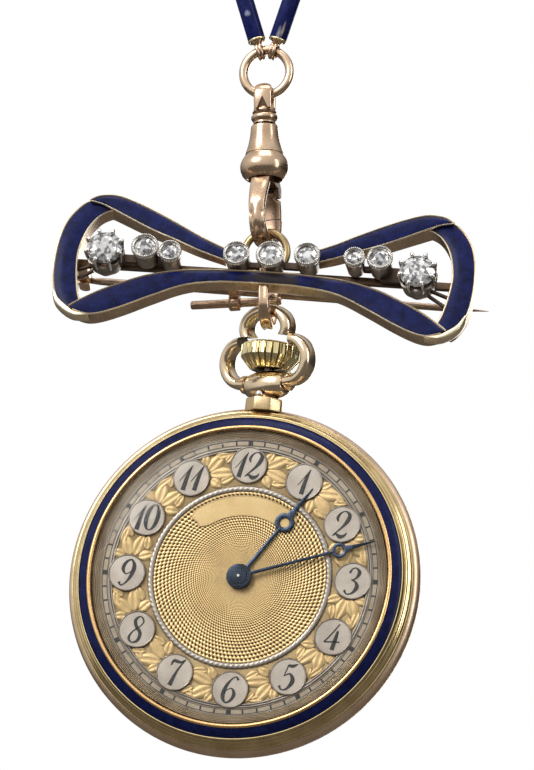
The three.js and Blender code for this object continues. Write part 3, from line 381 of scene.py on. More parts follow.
class Graph:
    """The node tree of a new material or world, built by name."""

    def __init__(self, name, blocks=bpy.data.materials):
        self.owner = blocks.new(name)
        self.owner.use_nodes = True
        self.tree = self.owner.node_tree
        self.tree.nodes.clear()

    def add(self, kind, inputs=None, **settings):
        node = self.tree.nodes.new(kind)
        for key, value in settings.items():
            setattr(node, key, value)
        for key, value in (inputs or {}).items():
            if isinstance(value, bpy.types.NodeSocket):
                self.tree.links.new(value, node.inputs[key])
            else:
                is_colour = node.inputs[key].type == "RGBA"
                node.inputs[key].default_value = (*value, 1) if is_colour else value
        return node

    def place(self, scale=(1, 1, 1)):
        coordinates = self.add("ShaderNodeTexCoord").outputs["Object"]
        return self.add("ShaderNodeMapping", {"Vector": coordinates, "Scale": scale}).outputs[0]

    def noise(self, vector, scale, detail=3.0, distortion=0.0):
        return self.add("ShaderNodeTexNoise", {"Vector": vector, "Scale": scale, "Detail": detail,
                                               "Distortion": distortion}).outputs["Fac"]

    def ramp(self, value, low, high, low_to=0.0, high_to=1.0):
        node = self.add("ShaderNodeMapRange", {"Value": value, "From Min": low, "From Max": high,
                                               "To Min": low_to, "To Max": high_to})
        return node.outputs[0]

    def mix(self, share, first, second, blend="MIX"):
        """Mixes colours; 6 and 7 are the node's two colour inputs, and 2 is its colour output."""
        return self.add("ShaderNodeMix", {"Factor": share, 6: first, 7: second}, data_type="RGBA",
                        blend_type=blend).outputs[2]

    def mix_shaders(self, share, first, second):
        return self.add("ShaderNodeMixShader", {0: share, 1: first.outputs[0], 2: second.outputs[0]})

    def maths(self, operation, first, second):
        return self.add("ShaderNodeMath", {0: first, 1: second}, operation=operation).outputs[0]

    def bump(self, height, strength, distance):
        """Distance in millimetres."""
        return self.add("ShaderNodeBump", {"Height": height, "Strength": strength,
                                           "Distance": distance * MM}).outputs[0]

    def darken_corners(self, colour, reach, dark, tint):
        """Painted shade: multiplies by the tint in tight corners found by ambient occlusion, where the share left
        falls to dark; reach in mm.
        """
        open_sky = self.add("ShaderNodeAmbientOcclusion", {"Distance": reach * MM}, samples=6).outputs["AO"]
        share = self.ramp(open_sky, 0.25, 0.85, dark, 1.0)
        return self.mix(1.0, colour, self.mix(share, tint, (1, 1, 1)), "MULTIPLY")

    def principled(self, inputs):
        return self.finish(self.add("ShaderNodeBsdfPrincipled", inputs))

    def finish(self, shader, output="Material"):
        self.add(f"ShaderNodeOutput{output}", {"Surface": shader.outputs[0]})
        return self.owner


def metal(name, bright, deep, roughness, unit=1.0, grain=(1, 1, 1), scratch=0.12, dark=0.35, reach=0.5):
    """Worn polished metal: a slow change of tone, fine scratches, and in the corners brown patina with painted
    shade.
    """
    g = Graph(name)
    tone = g.noise(g.place((unit, unit, unit)), 0.7, 5)
    fine = g.noise(g.place(tuple(unit * value for value in grain)), 9, 6)
    edges = g.add("ShaderNodeNewGeometry").outputs["Pointiness"]
    colour = g.mix(g.ramp(tone, 0.3, 0.7), deep, bright)
    rubbed = tuple(min(1, 1.12 * value) for value in bright)
    colour = g.mix(g.ramp(edges, 0.5, 0.56, 0, 0.35), colour, rubbed)
    # Painted shade in the corners, tinted brown like patina.
    colour = g.darken_corners(colour, reach, dark, (0.22, 0.13, 0.07))
    return g.principled({
        "Base Color": colour, "Metallic": 1.0,
        "Roughness": g.ramp(fine, 0.3, 0.7, roughness * 0.8, roughness * 1.35),
        "Normal": g.bump(fine, scratch, 0.02)})


def enamel(name, light, deep, spots=()):
    """Glossy translucent enamel, mottled by the ground under it; the last argument lists worn bare spots and dark
    patches of painted shade.
    """
    g = Graph(name)
    cloud = g.noise(g.place(), 1.3, 6, 0.6)
    cells = g.noise(g.place(), 7, 3)
    glow = g.noise(g.place((1, 1, 2.5)), 2.6, 4, 1.2)
    shade = g.maths("ADD", g.ramp(cloud, 0.32, 0.72, 0, 0.8), g.ramp(cells, 0.4, 0.8, 0, 0.25))
    colour = g.mix(shade, deep, light)
    colour = g.mix(g.ramp(glow, 0.56, 0.72, 0, 0.5), colour, scaled(light, (1.6, 2.6, 1.5)))
    # Painted shade: bluish darkening in the corners of the enamel.
    colour = g.darken_corners(colour, 0.5, 0.3, (0.1, 0.1, 0.16))
    # Each spot lays its colour over the enamel: worn bare spots on the links, a patch of painted shade on the
    # ribbon.
    for place, stretch, spot_colour in spots:
        scale = tuple(1 / value for value in stretch)
        offset = g.add("ShaderNodeVectorMath", {0: g.place(scale), 1: scaled(place, scale)},
                       operation="DISTANCE").outputs["Value"]
        edge = g.maths("ADD", offset, g.ramp(cloud, 0.3, 0.7, -0.25, 0.25))
        colour = g.mix(g.ramp(edge, 0.35, 1.0, 0.85, 0), colour, spot_colour)
    return g.principled({
        "Base Color": colour, "Roughness": 0.36, "Coat Weight": 0.07, "Coat Roughness": 0.12,
        "Specular IOR Level": 0.09, "Normal": g.bump(cloud, 0.25, 0.06)})


def matt(name, bright, deep, roughness, metallic=0.75, grain=26, strength=0.35, dark=0.3, reach=0.35):
    """Grained or silvered surface of the dial, and blued steel, with painted shade in the corners."""
    g = Graph(name)
    fine = g.noise(g.place(), grain, 4)
    slow = g.noise(g.place(), 0.5, 4)
    colour = g.mix(g.ramp(slow, 0.35, 0.65), deep, bright)
    colour = g.mix(g.ramp(fine, 0.35, 0.6, 0.45, 0), colour, scaled(deep, (0.5, 0.5, 0.5)))
    # Painted shade in the corners, tinted brown like patina.
    colour = g.darken_corners(colour, reach, dark, (0.2, 0.13, 0.08))
    return g.principled({
        "Base Color": colour, "Metallic": metallic, "Roughness": roughness,
        "Normal": g.bump(fine, strength, 0.02)})


def engraved(name, peak, pit, roughness):
    """Engine turning: the colour follows the stored depth of the cut, the pits painted near black as shade."""
    g = Graph(name)
    depth = g.add("ShaderNodeAttribute", attribute_name="cut").outputs["Fac"]
    slow = g.noise(g.place(), 0.4, 4)
    tone = g.mix(g.ramp(depth, 0.36, 0.6), pit, peak)
    tone = g.mix(g.ramp(slow, 0.4, 0.7, 0, 0.25), tone, pit)
    return g.principled({
        "Base Color": tone, "Metallic": 0.85, "Roughness": g.ramp(depth, 0, 1, roughness * 1.6, roughness)})


def gem(name):
    """Cut stone: part clear, part mirror, each facet given its own painted brightness and spotted with painted
    glints.
    """
    g = Graph(name)
    facet = g.add("ShaderNodeAttribute", attribute_name="facet").outputs["Fac"]
    glints = g.add("ShaderNodeTexVoronoi", {"Vector": g.place(), "Scale": 3.6}).outputs["Color"]
    split = g.add("ShaderNodeSeparateColor", {0: glints}).outputs[0]
    facet_glint = g.maths("MULTIPLY", g.ramp(facet, 0.25, 1, 0.55, 1.0), g.ramp(split, 0.3, 0.6, 0.22, 1.0))
    colour = g.mix(facet_glint, (0.05, 0.05, 0.06), (1.0, 1.0, 1.0))
    clear = g.add("ShaderNodeBsdfGlass", {"Color": (1, 1, 1), "Roughness": 0.0, "IOR": 2.1})
    mirror = g.add("ShaderNodeBsdfPrincipled", {"Base Color": colour, "Metallic": 0.55, "Roughness": 0.12})
    share = g.ramp(g.noise(g.place(), 2.2, 2), 0.3, 0.7, 0.7, 0.95)
    return g.finish(g.mix_shaders(share, clear, mirror))


def glass(name):
    """Watch crystal: clear, with a soft edge reflection and faint smears."""
    g = Graph(name)
    smear = g.ramp(g.noise(g.place((0.4, 1, 1)), 1.2, 5), 0.3, 0.8, 0.0, 0.03)
    edge = g.add("ShaderNodeFresnel", {"IOR": 1.13}).outputs[0]
    clear = g.add("ShaderNodeBsdfTransparent", {"Color": (0.985, 0.99, 0.985)})
    gloss = g.add("ShaderNodeBsdfAnisotropic", {"Color": (1, 1, 1), "Roughness": smear})
    return g.finish(g.mix_shaders(edge, clear, gloss))


def paint(name, colour):
    """Fired numeral paint with a slightly uneven surface."""
    g = Graph(name)
    fine = g.noise(g.place(), 12, 4)
    tone = g.mix(g.ramp(fine, 0.3, 0.7), colour, tuple(value * 2.2 + 0.01 for value in colour))
    return g.principled({"Base Color": tone, "Roughness": 0.45, "Normal": g.bump(fine, 0.2, 0.01)})


# Every metal below gets painted shade in its corners; dark is the least share left there, reach how far it
# spreads.
ROSE = metal("rose_gold", (0.80, 0.60, 0.43), (0.60, 0.42, 0.28), 0.20, scratch=0.05)
CLASP_ROSE = metal("clasp_rose_gold", (0.66, 0.49, 0.35), (0.48, 0.33, 0.22), 0.22, scratch=0.03)
COLLAR_GOLD = metal("collar_gold", (0.66, 0.50, 0.29), (0.46, 0.33, 0.17), 0.26, scratch=0.05)
BAND_ROSE = metal("band_rose_gold", (0.86, 0.66, 0.47), (0.70, 0.50, 0.33), 0.34)
BOW_GOLD = metal("bow_gold", (0.88, 0.73, 0.52), (0.66, 0.50, 0.33), 0.18, dark=0.25)
BEZEL_GOLD = metal("bezel_gold", (0.84, 0.67, 0.37), (0.60, 0.45, 0.22), 0.20, dark=0.15, reach=0.7)
# A darker copy of rose gold, painted shade, for the hook bolt, its sleeve and the pendant saddle.
ROSE_DARK = metal("rose_gold_painted_shade", (0.55, 0.38, 0.26), (0.30, 0.19, 0.12), 0.30)
HOOK_SHADE = metal("hook_shaded", (0.36, 0.25, 0.175), (0.20, 0.135, 0.09), 0.3)
ROSE_SHADE = metal("rose_gold_shaded", (0.15, 0.10, 0.07), (0.08, 0.05, 0.035), 0.4)
BROOCH_GOLD = metal("brooch_gold", (0.64, 0.49, 0.34), (0.38, 0.27, 0.18), 0.28, scratch=0.03)
EDGE_GOLD = metal("edge_gold", (0.98, 0.84, 0.62), (0.86, 0.70, 0.50), 0.34, scratch=0.02, dark=0.85)
LIP_GOLD = metal("lip_gold", (0.86, 0.56, 0.26), (0.70, 0.42, 0.18), 0.24)
LOOP_GOLD = metal("loop_gold", (0.46, 0.34, 0.18), (0.26, 0.18, 0.09), 0.3)
PIN_METAL = metal("pin_metal", (0.42, 0.32, 0.24), (0.26, 0.19, 0.14), 0.28, grain=(0.3, 3, 3))
YELLOW = metal("yellow_gold", (0.83, 0.66, 0.33), (0.66, 0.48, 0.20), 0.20)
CROWN_GOLD = metal("pale_gold", (0.90, 0.80, 0.48), (0.78, 0.66, 0.34), 0.16, dark=0.12, reach=0.5)
SILVER = metal("silver", (0.86, 0.85, 0.82), (0.66, 0.64, 0.60), 0.26, dark=0.25, reach=0.6)
# Darker silver for the collet walls, below the bright rims.
SILVER_WORN = metal("silver_darker_walls", (0.46, 0.42, 0.38), (0.22, 0.18, 0.15), 0.34, dark=0.2, reach=0.6)
# Near-black silver for the bars behind and between the stones: painted shade.
SILVER_DARK = metal("silver_painted_shade", (0.10, 0.07, 0.055), (0.05, 0.036, 0.028), 0.45)
STEEL = metal("steel", (0.62, 0.60, 0.58), (0.46, 0.44, 0.42), 0.25, grain=(0.3, 3, 3))
# The one spot on this enamel is a dark patch painted as shade on the lower band, just below the centre setting.
ENAMEL = enamel("blue_enamel", (0.008, 0.013, 0.092), (0.002, 0.003, 0.024),
                [((0.3, 0.15, -1.8), (2.8, 4.0, 1.3), (0.030, 0.022, 0.018))])
ENAMEL_DARK = enamel("blue_enamel_ring", (0.008, 0.014, 0.085), (0.004, 0.005, 0.035))
LINK_ENAMEL = {  # worn spots: place, reach along x, y and z, colour
    "left": enamel("link_enamel_left", (0.014, 0.022, 0.14), (0.004, 0.005, 0.045),
                   [((-0.05, -0.7, 5.05), (0.3, 0.6, 0.33), (0.33, 0.36, 0.52))]),
    "right": enamel("link_enamel_right", (0.014, 0.022, 0.14), (0.004, 0.005, 0.045),
                    [((0.1, -0.7, 3.2), (0.2, 0.6, 0.75), (0.30, 0.36, 0.44)),
                     ((0.32, -0.6, 3.6), (0.12, 0.6, 0.85), (0.50, 0.38, 0.24))]),
}
GEM = gem("brilliant")
CRYSTAL = glass("crystal_glass")
INK = paint("numeral_paint", (0.012, 0.011, 0.012))
BLUED = matt("blued_steel", (0.075, 0.10, 0.165), (0.045, 0.062, 0.10), 0.34, 0.85,
             grain=2, strength=0.02, dark=0.95)
HUB_BLUED = matt("blued_steel_hub", (0.05, 0.062, 0.10), (0.03, 0.04, 0.06), 0.42, 0.85,
                 grain=1, strength=0.0, dark=1.0)
DIAL_SILVER = matt("dial_silver", (0.58, 0.51, 0.45), (0.44, 0.38, 0.33), 0.45)
DIAL_RING = matt("dial_ring", (0.58, 0.52, 0.46), (0.45, 0.39, 0.34), 0.38, grain=14, strength=0.15)
DIAL_TRACK = matt("dial_track", (0.46, 0.38, 0.29), (0.34, 0.27, 0.20), 0.42, grain=14, strength=0.15)
DIAL_GROUND = matt("dial_ground", (0.56, 0.41, 0.22), (0.40, 0.28, 0.14), 0.55, grain=34, strength=0.6)
DIAL_LEAF = matt("dial_leaf", (0.74, 0.53, 0.27), (0.60, 0.42, 0.20), 0.46, grain=18, strength=0.25, dark=0.2)
DIAL_GOLD = matt("dial_gold", (0.76, 0.55, 0.28), (0.64, 0.45, 0.21), 0.4, grain=20, strength=0.12)
REHAUT = matt("rehaut_silver", (0.56, 0.44, 0.30), (0.34, 0.25, 0.16), 0.42, reach=0.08)
# The near-black pit colour is painted shade in the cuts.
TURNED = engraved("engine_turned_gold", (0.95, 0.67, 0.33), (0.08, 0.045, 0.015), 0.34)
GILT = metal("gilt_brass", (0.80, 0.62, 0.30), (0.64, 0.46, 0.20), 0.34, unit=1 / MM)
CAD_STEEL = metal("movement_steel", (0.58, 0.58, 0.58), (0.42, 0.42, 0.43), 0.26, unit=1 / MM)
CAD_BLUED = metal("movement_blued", (0.05, 0.09, 0.2), (0.03, 0.05, 0.12), 0.25, unit=1 / MM)

# ---------------------------------------------------------------- chain links and jump ring


def build_chain():
    ring_radius, ring_wire = 1.87, 0.35
    add_piece("jump_ring_wire", [(torus(ring_radius, ring_wire), ROSE)], ROW, "jump_ring", "rose_gold",
              ["jump_ring"])
    bottom, top, radius = 2.72, 12.72, 0.7
    for side, lean in (("left", -16), ("right", 18.7)):
        where = Matrix.Rotation(math.radians(lean), 4, "Y")
        baton = turned(0, radius, bottom + 0.06, top - 0.06, 48, "Z", (0.1, 0.12))
        lips = [torus(radius - 0.07, 0.1, (0, 0, z), 48, 12, "Z") for z in (bottom + 0.09, top - 0.09)]
        metalwork = []
        for end, away, eye_height in ((bottom, -1, ring_radius), (top, 1, top + 0.85)):
            metalwork.append(lathe([(0, end), (0.5, end), (0.34, end + away * 0.2), (0.25, end + away * 0.38),
                                    (0, end + away * 0.42)], 32, "Z"))
            metalwork += [torus(0.59, 0.15, (x, 0, eye_height), 40, 12, "X") for x in (-0.13, 0.13)]
        body = f"link_{side}"
        add_piece(f"{body}_baton", [(baton, LINK_ENAMEL[side])], where, body, "blue_enamel",
                  [f"{body}_enamel"])
        add_piece(f"{body}_gold", [(together(*lips), CROWN_GOLD), (together(*metalwork), ROSE)], where, body,
                  "yellow_gold", [f"{body}_core"], sharp=60)


# ---------------------------------------------------------------- swivel clasp


def strap_loop():
    """The swivel's top loop: a strip bent over the ring, closing to a neck above the collar."""
    line = side_line([(0.78, -3.12), (0.86, -2.6), *arc((0, -2.0), (0.88, 0.88), 0, 180, 20),
                      (-0.86, -2.6), (-0.78, -3.12)])

    def section(t):
        """Narrowest at the top of the bend."""
        return oval_section(0.42, 1.43 - 0.75 * math.exp(-((t - 0.5) / 0.13) ** 2), 2.3, 20)

    strip = sweep(line, section, (1, 0, 0))
    points, faces = side_prism([(-1.25, -3.3), (-0.66, -3.3), (-1.08, -2.25)], -0.5, 0.5)
    dent = ([(x * (1 if z < -3 else 0.06), y, z) for x, y, z in points], faces)
    neck = lathe([(0, -2.78), (0.5, -2.8), (0.86, -3.02), (0.9, -3.25), (0, -3.3)], 40, "Z")
    return together(without(strip, dent), neck)


def hook_section(t):
    """Broad and flat above, with a ridge below where the front narrows to a flute."""
    at_bend = max(0.0, 1 - abs(t - 0.5) / 0.32)
    groove = 0.24 * max(0.0, 1 - abs(t - 0.5) / 0.13)
    points = []
    for u, v in oval_section(0.72, 1.55 - 0.3 * at_bend, 3.2, 32):
        near_flute = math.exp(-((abs(v) - 0.42) / 0.15) ** 2)
        points.append((u - math.copysign(groove * near_flute, u), v))
    return points


def gate_section(t):
    """Narrow at the rivet, then as broad as the hook."""
    return oval_section(0.62, 0.76 + 0.74 * min(1.0, max(0.0, t - 0.2) / 0.12), 3.4, 20)


def build_clasp():
    collar = lathe([
        (0, -3.22), (0.86, -3.22), (0.98, -3.36), (0.88, -3.5), (0.98, -3.58), (1.07, -3.72), (1.07, -3.9),
        (0.98, -4.05), (0.88, -4.16), (0.9, -4.28), (0.6, -4.36), (0, -4.38)], 64, "Z")
    add_piece("clasp_swivel_eye", [(together(strap_loop(), collar), CLASP_ROSE)], CLASP, "clasp_eye",
              "rose_gold", ["clasp_eye"], sharp=50)
    bell = lathe([
        (0.5, -4.44), (0.98, -4.44), (1.06, -4.5), (1.09, -4.62), (1.13, -5.1), (1.2, -5.6), (1.31, -6.1),
        (1.43, -6.5), (1.5, -6.72), (1.53, -6.8), (1.49, -6.85), (1.5, -6.9), (1.6, -7.02), (1.78, -7.3),
        (1.91, -7.6), (1.95, -7.88), (1.91, -8.2), (1.78, -8.55), (1.56, -8.82), (1.42, -8.9), (1.34, -8.84),
        (1.2, -8.62), (0.5, -8.6)], 96, "Z")
    add_piece("clasp_bell_cap", [(bell, CLASP_ROSE)], CLASP, "clasp", "rose_gold", ["clasp_bell"], sharp=35)

    half_span, bend_z, tip_steps = 1.9, -12.15, 13
    rivet_y, rivet_z = 1.55, -9.75
    line = smooth_line(side_line([(-0.75, -8.5), (-1.02, -9.3), (-1.5, -10.3), (-1.84, -11.3),
                                  (-half_span, bend_z)]))
    line += side_line([*arc((0, bend_z), (half_span, half_span), 184, 356, 28), (half_span, bend_z),
                       (half_span, bend_z + 0.32)])
    steps = len(line) - 1
    rise = steps - tip_steps
    hook = sweep(line[:rise + 1], lambda t: hook_section(t * rise / steps), (1, 0, 0))
    tip = sweep(line[rise:], lambda t: hook_section((rise + t * tip_steps) / steps), (1, 0, 0))
    base = side_prism([(-0.6, -8.66), (1.5, -8.66), (1.95, -9.28), (1.88, -9.37), (1.2, -9.37), (-0.5, -9.1)],
                      -0.74, 0.74)
    lug = [*arc((rivet_y, rivet_z), (0.36, 0.36), 180, 360, 10), (1.91, -9.2), (1.19, -9.2)]
    shaded = together(tip, base, *[side_prism(lug, low, low + 0.3) for low in (-0.75, 0.45)])
    add_piece("clasp_hook_limb", [(hook, CLASP_ROSE), (shaded, HOOK_SHADE)], HOOK, "clasp", "rose_gold",
              ["clasp_hook"], sharp=50)
    rivet = shifted(turned(0, 0.15, -0.8, 0.8, 20, "X", (0.03, 0.04)), y=rivet_y, z=rivet_z)
    add_piece("clasp_rivet", [(rivet, STEEL)], HOOK, "clasp", "steel", ["clasp_gate_pin"])
    gate_line = side_line([(rivet_y, rivet_z), (1.72, -10.3), (1.86, -10.9), (1.9, -11.72)])
    gate = sweep(smooth_line(gate_line, 5), gate_section, (1, 0, 0))
    knuckle = shifted(turned(0, 0.34, -0.38, 0.38, 24, "X"), y=rivet_y, z=rivet_z)
    add_piece("clasp_gate_tongue", [(together(gate, knuckle), HOOK_SHADE)], HOOK, "clasp_gate", "rose_gold",
              ["clasp_gate"], sharp=50)


# ---------------------------------------------------------------- ribbon


def resampled(points, count):
    """The same line with evenly spaced points."""
    points = [Vector(point) for point in points]
    lengths = [0.0]
    for before, after in zip(points, points[1:]):
        lengths.append(lengths[-1] + (after - before).length)
    result = []
    segment = 0
    for index in range(count):
        target = lengths[-1] * index / (count - 1)
        while segment < len(points) - 2 and lengths[segment + 1] < target:
            segment += 1
        span = max(1e-9, lengths[segment + 1] - lengths[segment])
        result.append(points[segment].lerp(points[segment + 1], (target - lengths[segment]) / span))
    return result


def band(first_edge, second_edge, front, depth):
    """A strip of ribbon between two edges in x and z. Returns its gold body, enamel and rims."""
    count = 64
    first = resampled(smooth_line(first_edge), count)
    second = resampled(smooth_line(second_edge), count)
    rim, floor = 0.13, 0.07
    enamel_depth, swell, across_steps = 0.035, 0.09, 9

    def along(values, row):
        return values[0] + (values[1] - values[0]) * row / (count - 1)

    def body_point(row, column):
        edge = (first, second)[column in (1, 2)][row]
        y = along(front, row) + (floor if column < 2 else along(depth, row))
        return edge.x, y, edge.y

    def enamel_point(row, column):
        start, end = first[row], second[row]
        width = max(0.02, (end - start).length)
        inset = min(0.42, rim * 0.75 / width)
        across = column / (across_steps - 1)
        point = start.lerp(end, inset + (1 - 2 * inset) * across)
        crown = swell * min(1.0, width) * (1 - (2 * across - 1) ** 2)
        return point.x, along(front, row) + enamel_depth - crown, point.y

    rims = []
    for edge in (first, second):
        path = [(point.x, along(front, row) + 0.06, point.y) for row, point in enumerate(edge)]
        rims.append(sweep(path, oval_section(rim * 0.9, rim * 1.5, 2, 8)))
    return capped(count, 4, body_point), grid(count, across_steps, enamel_point), rims


BANDS = (  # each band's two edges from the middle outwards, then its front and depth in y at both ends
    ([(3.15, 0.77), (3.6, 0.95), (5.4, 1.75), (7.2, 2.7), (9.9, 4.0), (12, 4.78), (13.2, 4.85), (14.0, 4.66),
      (14.55, 4.3)],
     [(3.15, -0.26), (3.6, -0.1), (5.4, 0.5), (7.2, 1.25), (9.4, 2.1), (11.4, 3.05), (12.7, 3.68),
      (13.6, 4.05), (14.5, 4.24)], (0.25, 0.0), (1.0, 2.1)),
    ([(13.0, 4.5), (14.1, 4.54), (15.15, 3.98), (16.15, 2.5), (16.6, 0.7), (16.7, -1.6), (16.45, -3.6),
      (15.75, -5.0), (15.3, -5.45)],
     [(12.0, 3.75), (12.9, 3.62), (13.75, 3.0), (14.5, 1.7), (14.9, -0.2), (14.8, -2), (14.5, -3.7),
      (14.2, -4.6), (14.0, -5.0)], (0.42, 0.3), (1.5, 1.5)),
    ([(0.0, -2.15), (3.1, -2.25), (6, -2.75), (8.5, -3.9), (10.6, -5.0), (12.3, -5.75), (13.5, -5.98),
      (14.6, -5.65)],
     [(0.0, -1.1), (3.6, -1.22), (6.7, -1.52), (9.3, -2.2), (11.2, -3.05), (12.6, -3.75), (13.8, -4.5),
      (14.95, -5.35)], (0.15, 0.0), (1.35, 1.7)),
)
CORNER = [(13.3, -6.0), (14.4, -5.98), (15.2, -5.55), (15.95, -4.85), (16.35, -3.95)]


def build_ribbon(side, sign):
    def placed(points):
        return [(RIBBON_CENTRE_X + sign * x, z) for x, z in points]

    gold, edges, blue = [], [], []
    for first, second, front, depth in BANDS:
        body, face, rims = band(placed(first), placed(second), front, depth)
        gold.append(body)
        edges += rims
        blue.append(face)
    bulge = sweep(front_line(placed(smooth_line(CORNER, 6)), 0.55),
                  lambda t: oval_section(0.16 + 0.5 * math.sin(math.pi * t) ** 0.8, 1.1, 2.4, 16))
    name = f"bow_ribbon_{side}"
    add_brooch_part(f"{name}_gold", [(together(*gold), BROOCH_GOLD), (together(*edges, bulge), EDGE_GOLD)],
                    "yellow_gold", [name], sharp=35)
    add_brooch_part(f"{name}_enamel", [(together(*blue), ENAMEL)], "blue_enamel", sharp=80)


# ---------------------------------------------------------------- stones and settings

STONES = {
    "left_large": ((-13.19, -0.33), 1.57), "left_middle": ((-9.99, -0.01), 1.1),
    "left_small": ((-7.96, -0.29), 0.93), "centre_left": ((-2.69, -0.1), 1.06), "centre": ((0, 0), 1.15),
    "centre_right": ((2.9, 0.2), 1.05), "right_small": ((6.65, 0.22), 0.87),
    "right_middle": ((8.67, 0.31), 1.05), "right_large": ((11.73, -0.63), 1.56),
}
CLAWED = ("left_large", "right_large")
GIRDLE_Y = -0.62


def cut_stone(radius):
    """An old brilliant cut, its table towards -y and its girdle at y = 0."""
    table, crown, pavilion = 0.5, 0.32, 0.7

    points = []
    for share, y, count, offset in ((table, -crown, 8, 0), (0.8, -crown * 0.55, 8, 0.5), (1.0, 0.0, 16, 0),
                                    (0.4, pavilion * 0.62, 8, 0.5)):
        points += front_line(circle(radius * share, count, offset), y * radius)
    points.append((0, pavilion * radius, 0))
    kite, girdle, lower, culet = 8, 16, 32, 40
    faces = [tuple(range(8))]
    for i in range(8):
        after, before = (i + 1) % 8, (i - 1) % 8
        g0, g1, g2 = girdle + 2 * i, girdle + 2 * i + 1, girdle + (2 * i + 2) % 16
        faces.append((i, after, kite + i))
        faces.append((i, kite + before, g0, kite + i))
        faces += [(kite + i, g0, g1), (kite + i, g1, g2)]
        faces += [(lower + i, g1, g0), (lower + i, g2, g1)]
        faces.append((culet, lower + i, g0, lower + before))
    return points, faces


def add_stone(name, at, radius):
    stone = shifted(cut_stone(radius), at[0], GIRDLE_Y, at[1])
    piece = add_brooch_part(f"stone_{name}", [(stone, GEM)], "diamond", [f"diamond_{name}"], flat=True)
    # A random painted brightness for each facet, read by the stone's material as glints.
    shade = piece.data.attributes.new("facet", "FLOAT", "FACE")
    for index, value in enumerate(shade.data):
        value.value = 0.25 + 0.75 * (math.sin(index * 12.9898 + radius * 78.233 + at[0]) * 43758.5453 % 1.0)


def plain_collet(radius):
    """A rubbed-over rim with beading on a tapering tube."""
    wall = lathe([(radius - inset, y) for inset, y in (
        (0.08, -0.42), (0.06, -0.2), (0.1, 0.2), (0.2, 1.35), (0.34, 1.35), (0.3, 0.2), (0.28, -0.42))], 40)
    rim = lathe([(radius - inset, y) for inset, y in (
        (0.27, -0.6), (0.22, -0.8), (0.12, -0.86), (0.02, -0.8), (0, -0.6), (0.03, -0.42), (0.1, -0.38),
        (0.28, -0.42))], 40)
    spacing, bead_radius = 0.17, 0.068
    beads = circle(radius - 0.1, int(2 * math.pi * radius / spacing))
    return wall, together(rim, *[ball((x, -0.88, z), bead_radius, 6, 4) for x, z in beads])


def claw_collet(radius):
    """Eight claws rising from a scalloped cup."""
    def scallop(r, height, angle):
        return 0.1 * math.cos(8 * angle) * (1 if height < 0.3 else 0.3) if r > 1.0 else 0.0

    cup = lathe([(0.9, 1.6), (1.3, 1.6), (1.38, 1.3), (1.44, 0.7), (1.5, 0.15), (1.5, -0.1), (1.35, -0.12),
                 (1.2, 0.3), (1.05, 1.3)], 64, ripple=scallop)
    ring = lathe([(1.02, 0.75), (1.16, 0.66), (1.24, 0.78), (1.14, 0.9)], 48)
    claw_line = [(1.2, 1.0), (1.42, 0.2), (1.5, -0.5), (radius - 0.05, -0.95), (radius - 0.3, -1.02)]
    claws = []
    for c, s in circle(1, 8, 0.5):
        path = smooth_line([(reach * c, y, reach * s) for reach, y in claw_line], 4)
        claws.append(sweep(path, oval_section(0.24, 0.24, 2, 10), (c * 0.01 - s, 0, c)))
        claws.append(ball(((radius - 0.22) * c, -1.0, (radius - 0.22) * s), 0.17))
    return together(cup, ring), together(*claws)


SETTINGS = {  # stones from left to right
    "left_setting": ("left_large", "left_middle", "left_small"),
    "centre_setting": ("centre_left", "centre", "centre_right"),
    "right_setting": ("right_small", "right_middle", "right_large"),
}


def build_settings():
    for name, (at, radius) in STONES.items():
        add_stone(name, at, radius - (0.14 if name in CLAWED else 0.25))
    for group, members in SETTINGS.items():
        walls, bright, bars = [], [], []
        for name in members:
            (x, z), radius = STONES[name]
            base, rim = claw_collet(radius) if name in CLAWED else plain_collet(radius)
            walls.append(shifted(base, x=x, z=z))
            bright.append(shifted(rim, x=x, z=z))
            if name in CLAWED:
                outward = math.copysign(1, x)
                for drop, tip in ((-0.75, -1.5), (-1.25, -2.6)):
                    bars.append(rod((x + outward * 0.9, 1.0, z + drop), (x + outward * 3.1, 1.15, z + tip),
                                    0.16, 10))
        for first, second in zip(members, members[1:]):
            (x0, z0), (x1, z1) = STONES[first][0], STONES[second][0]
            bars.append(box_shape((x0, 0.95, min(z0, z1) - 0.25), (x1, 1.3, max(z0, z1) + 0.1)))
        galleries = [(together(*walls), SILVER_WORN), (together(*bars), SILVER_DARK)]
        add_brooch_part(f"{group}_galleries", galleries, "silver", [group], sharp=45)
        add_brooch_part(f"{group}_rims", [(together(*bright), SILVER)], "silver", sharp=60)


# ---------------------------------------------------------------- brooch back, pin and hooks


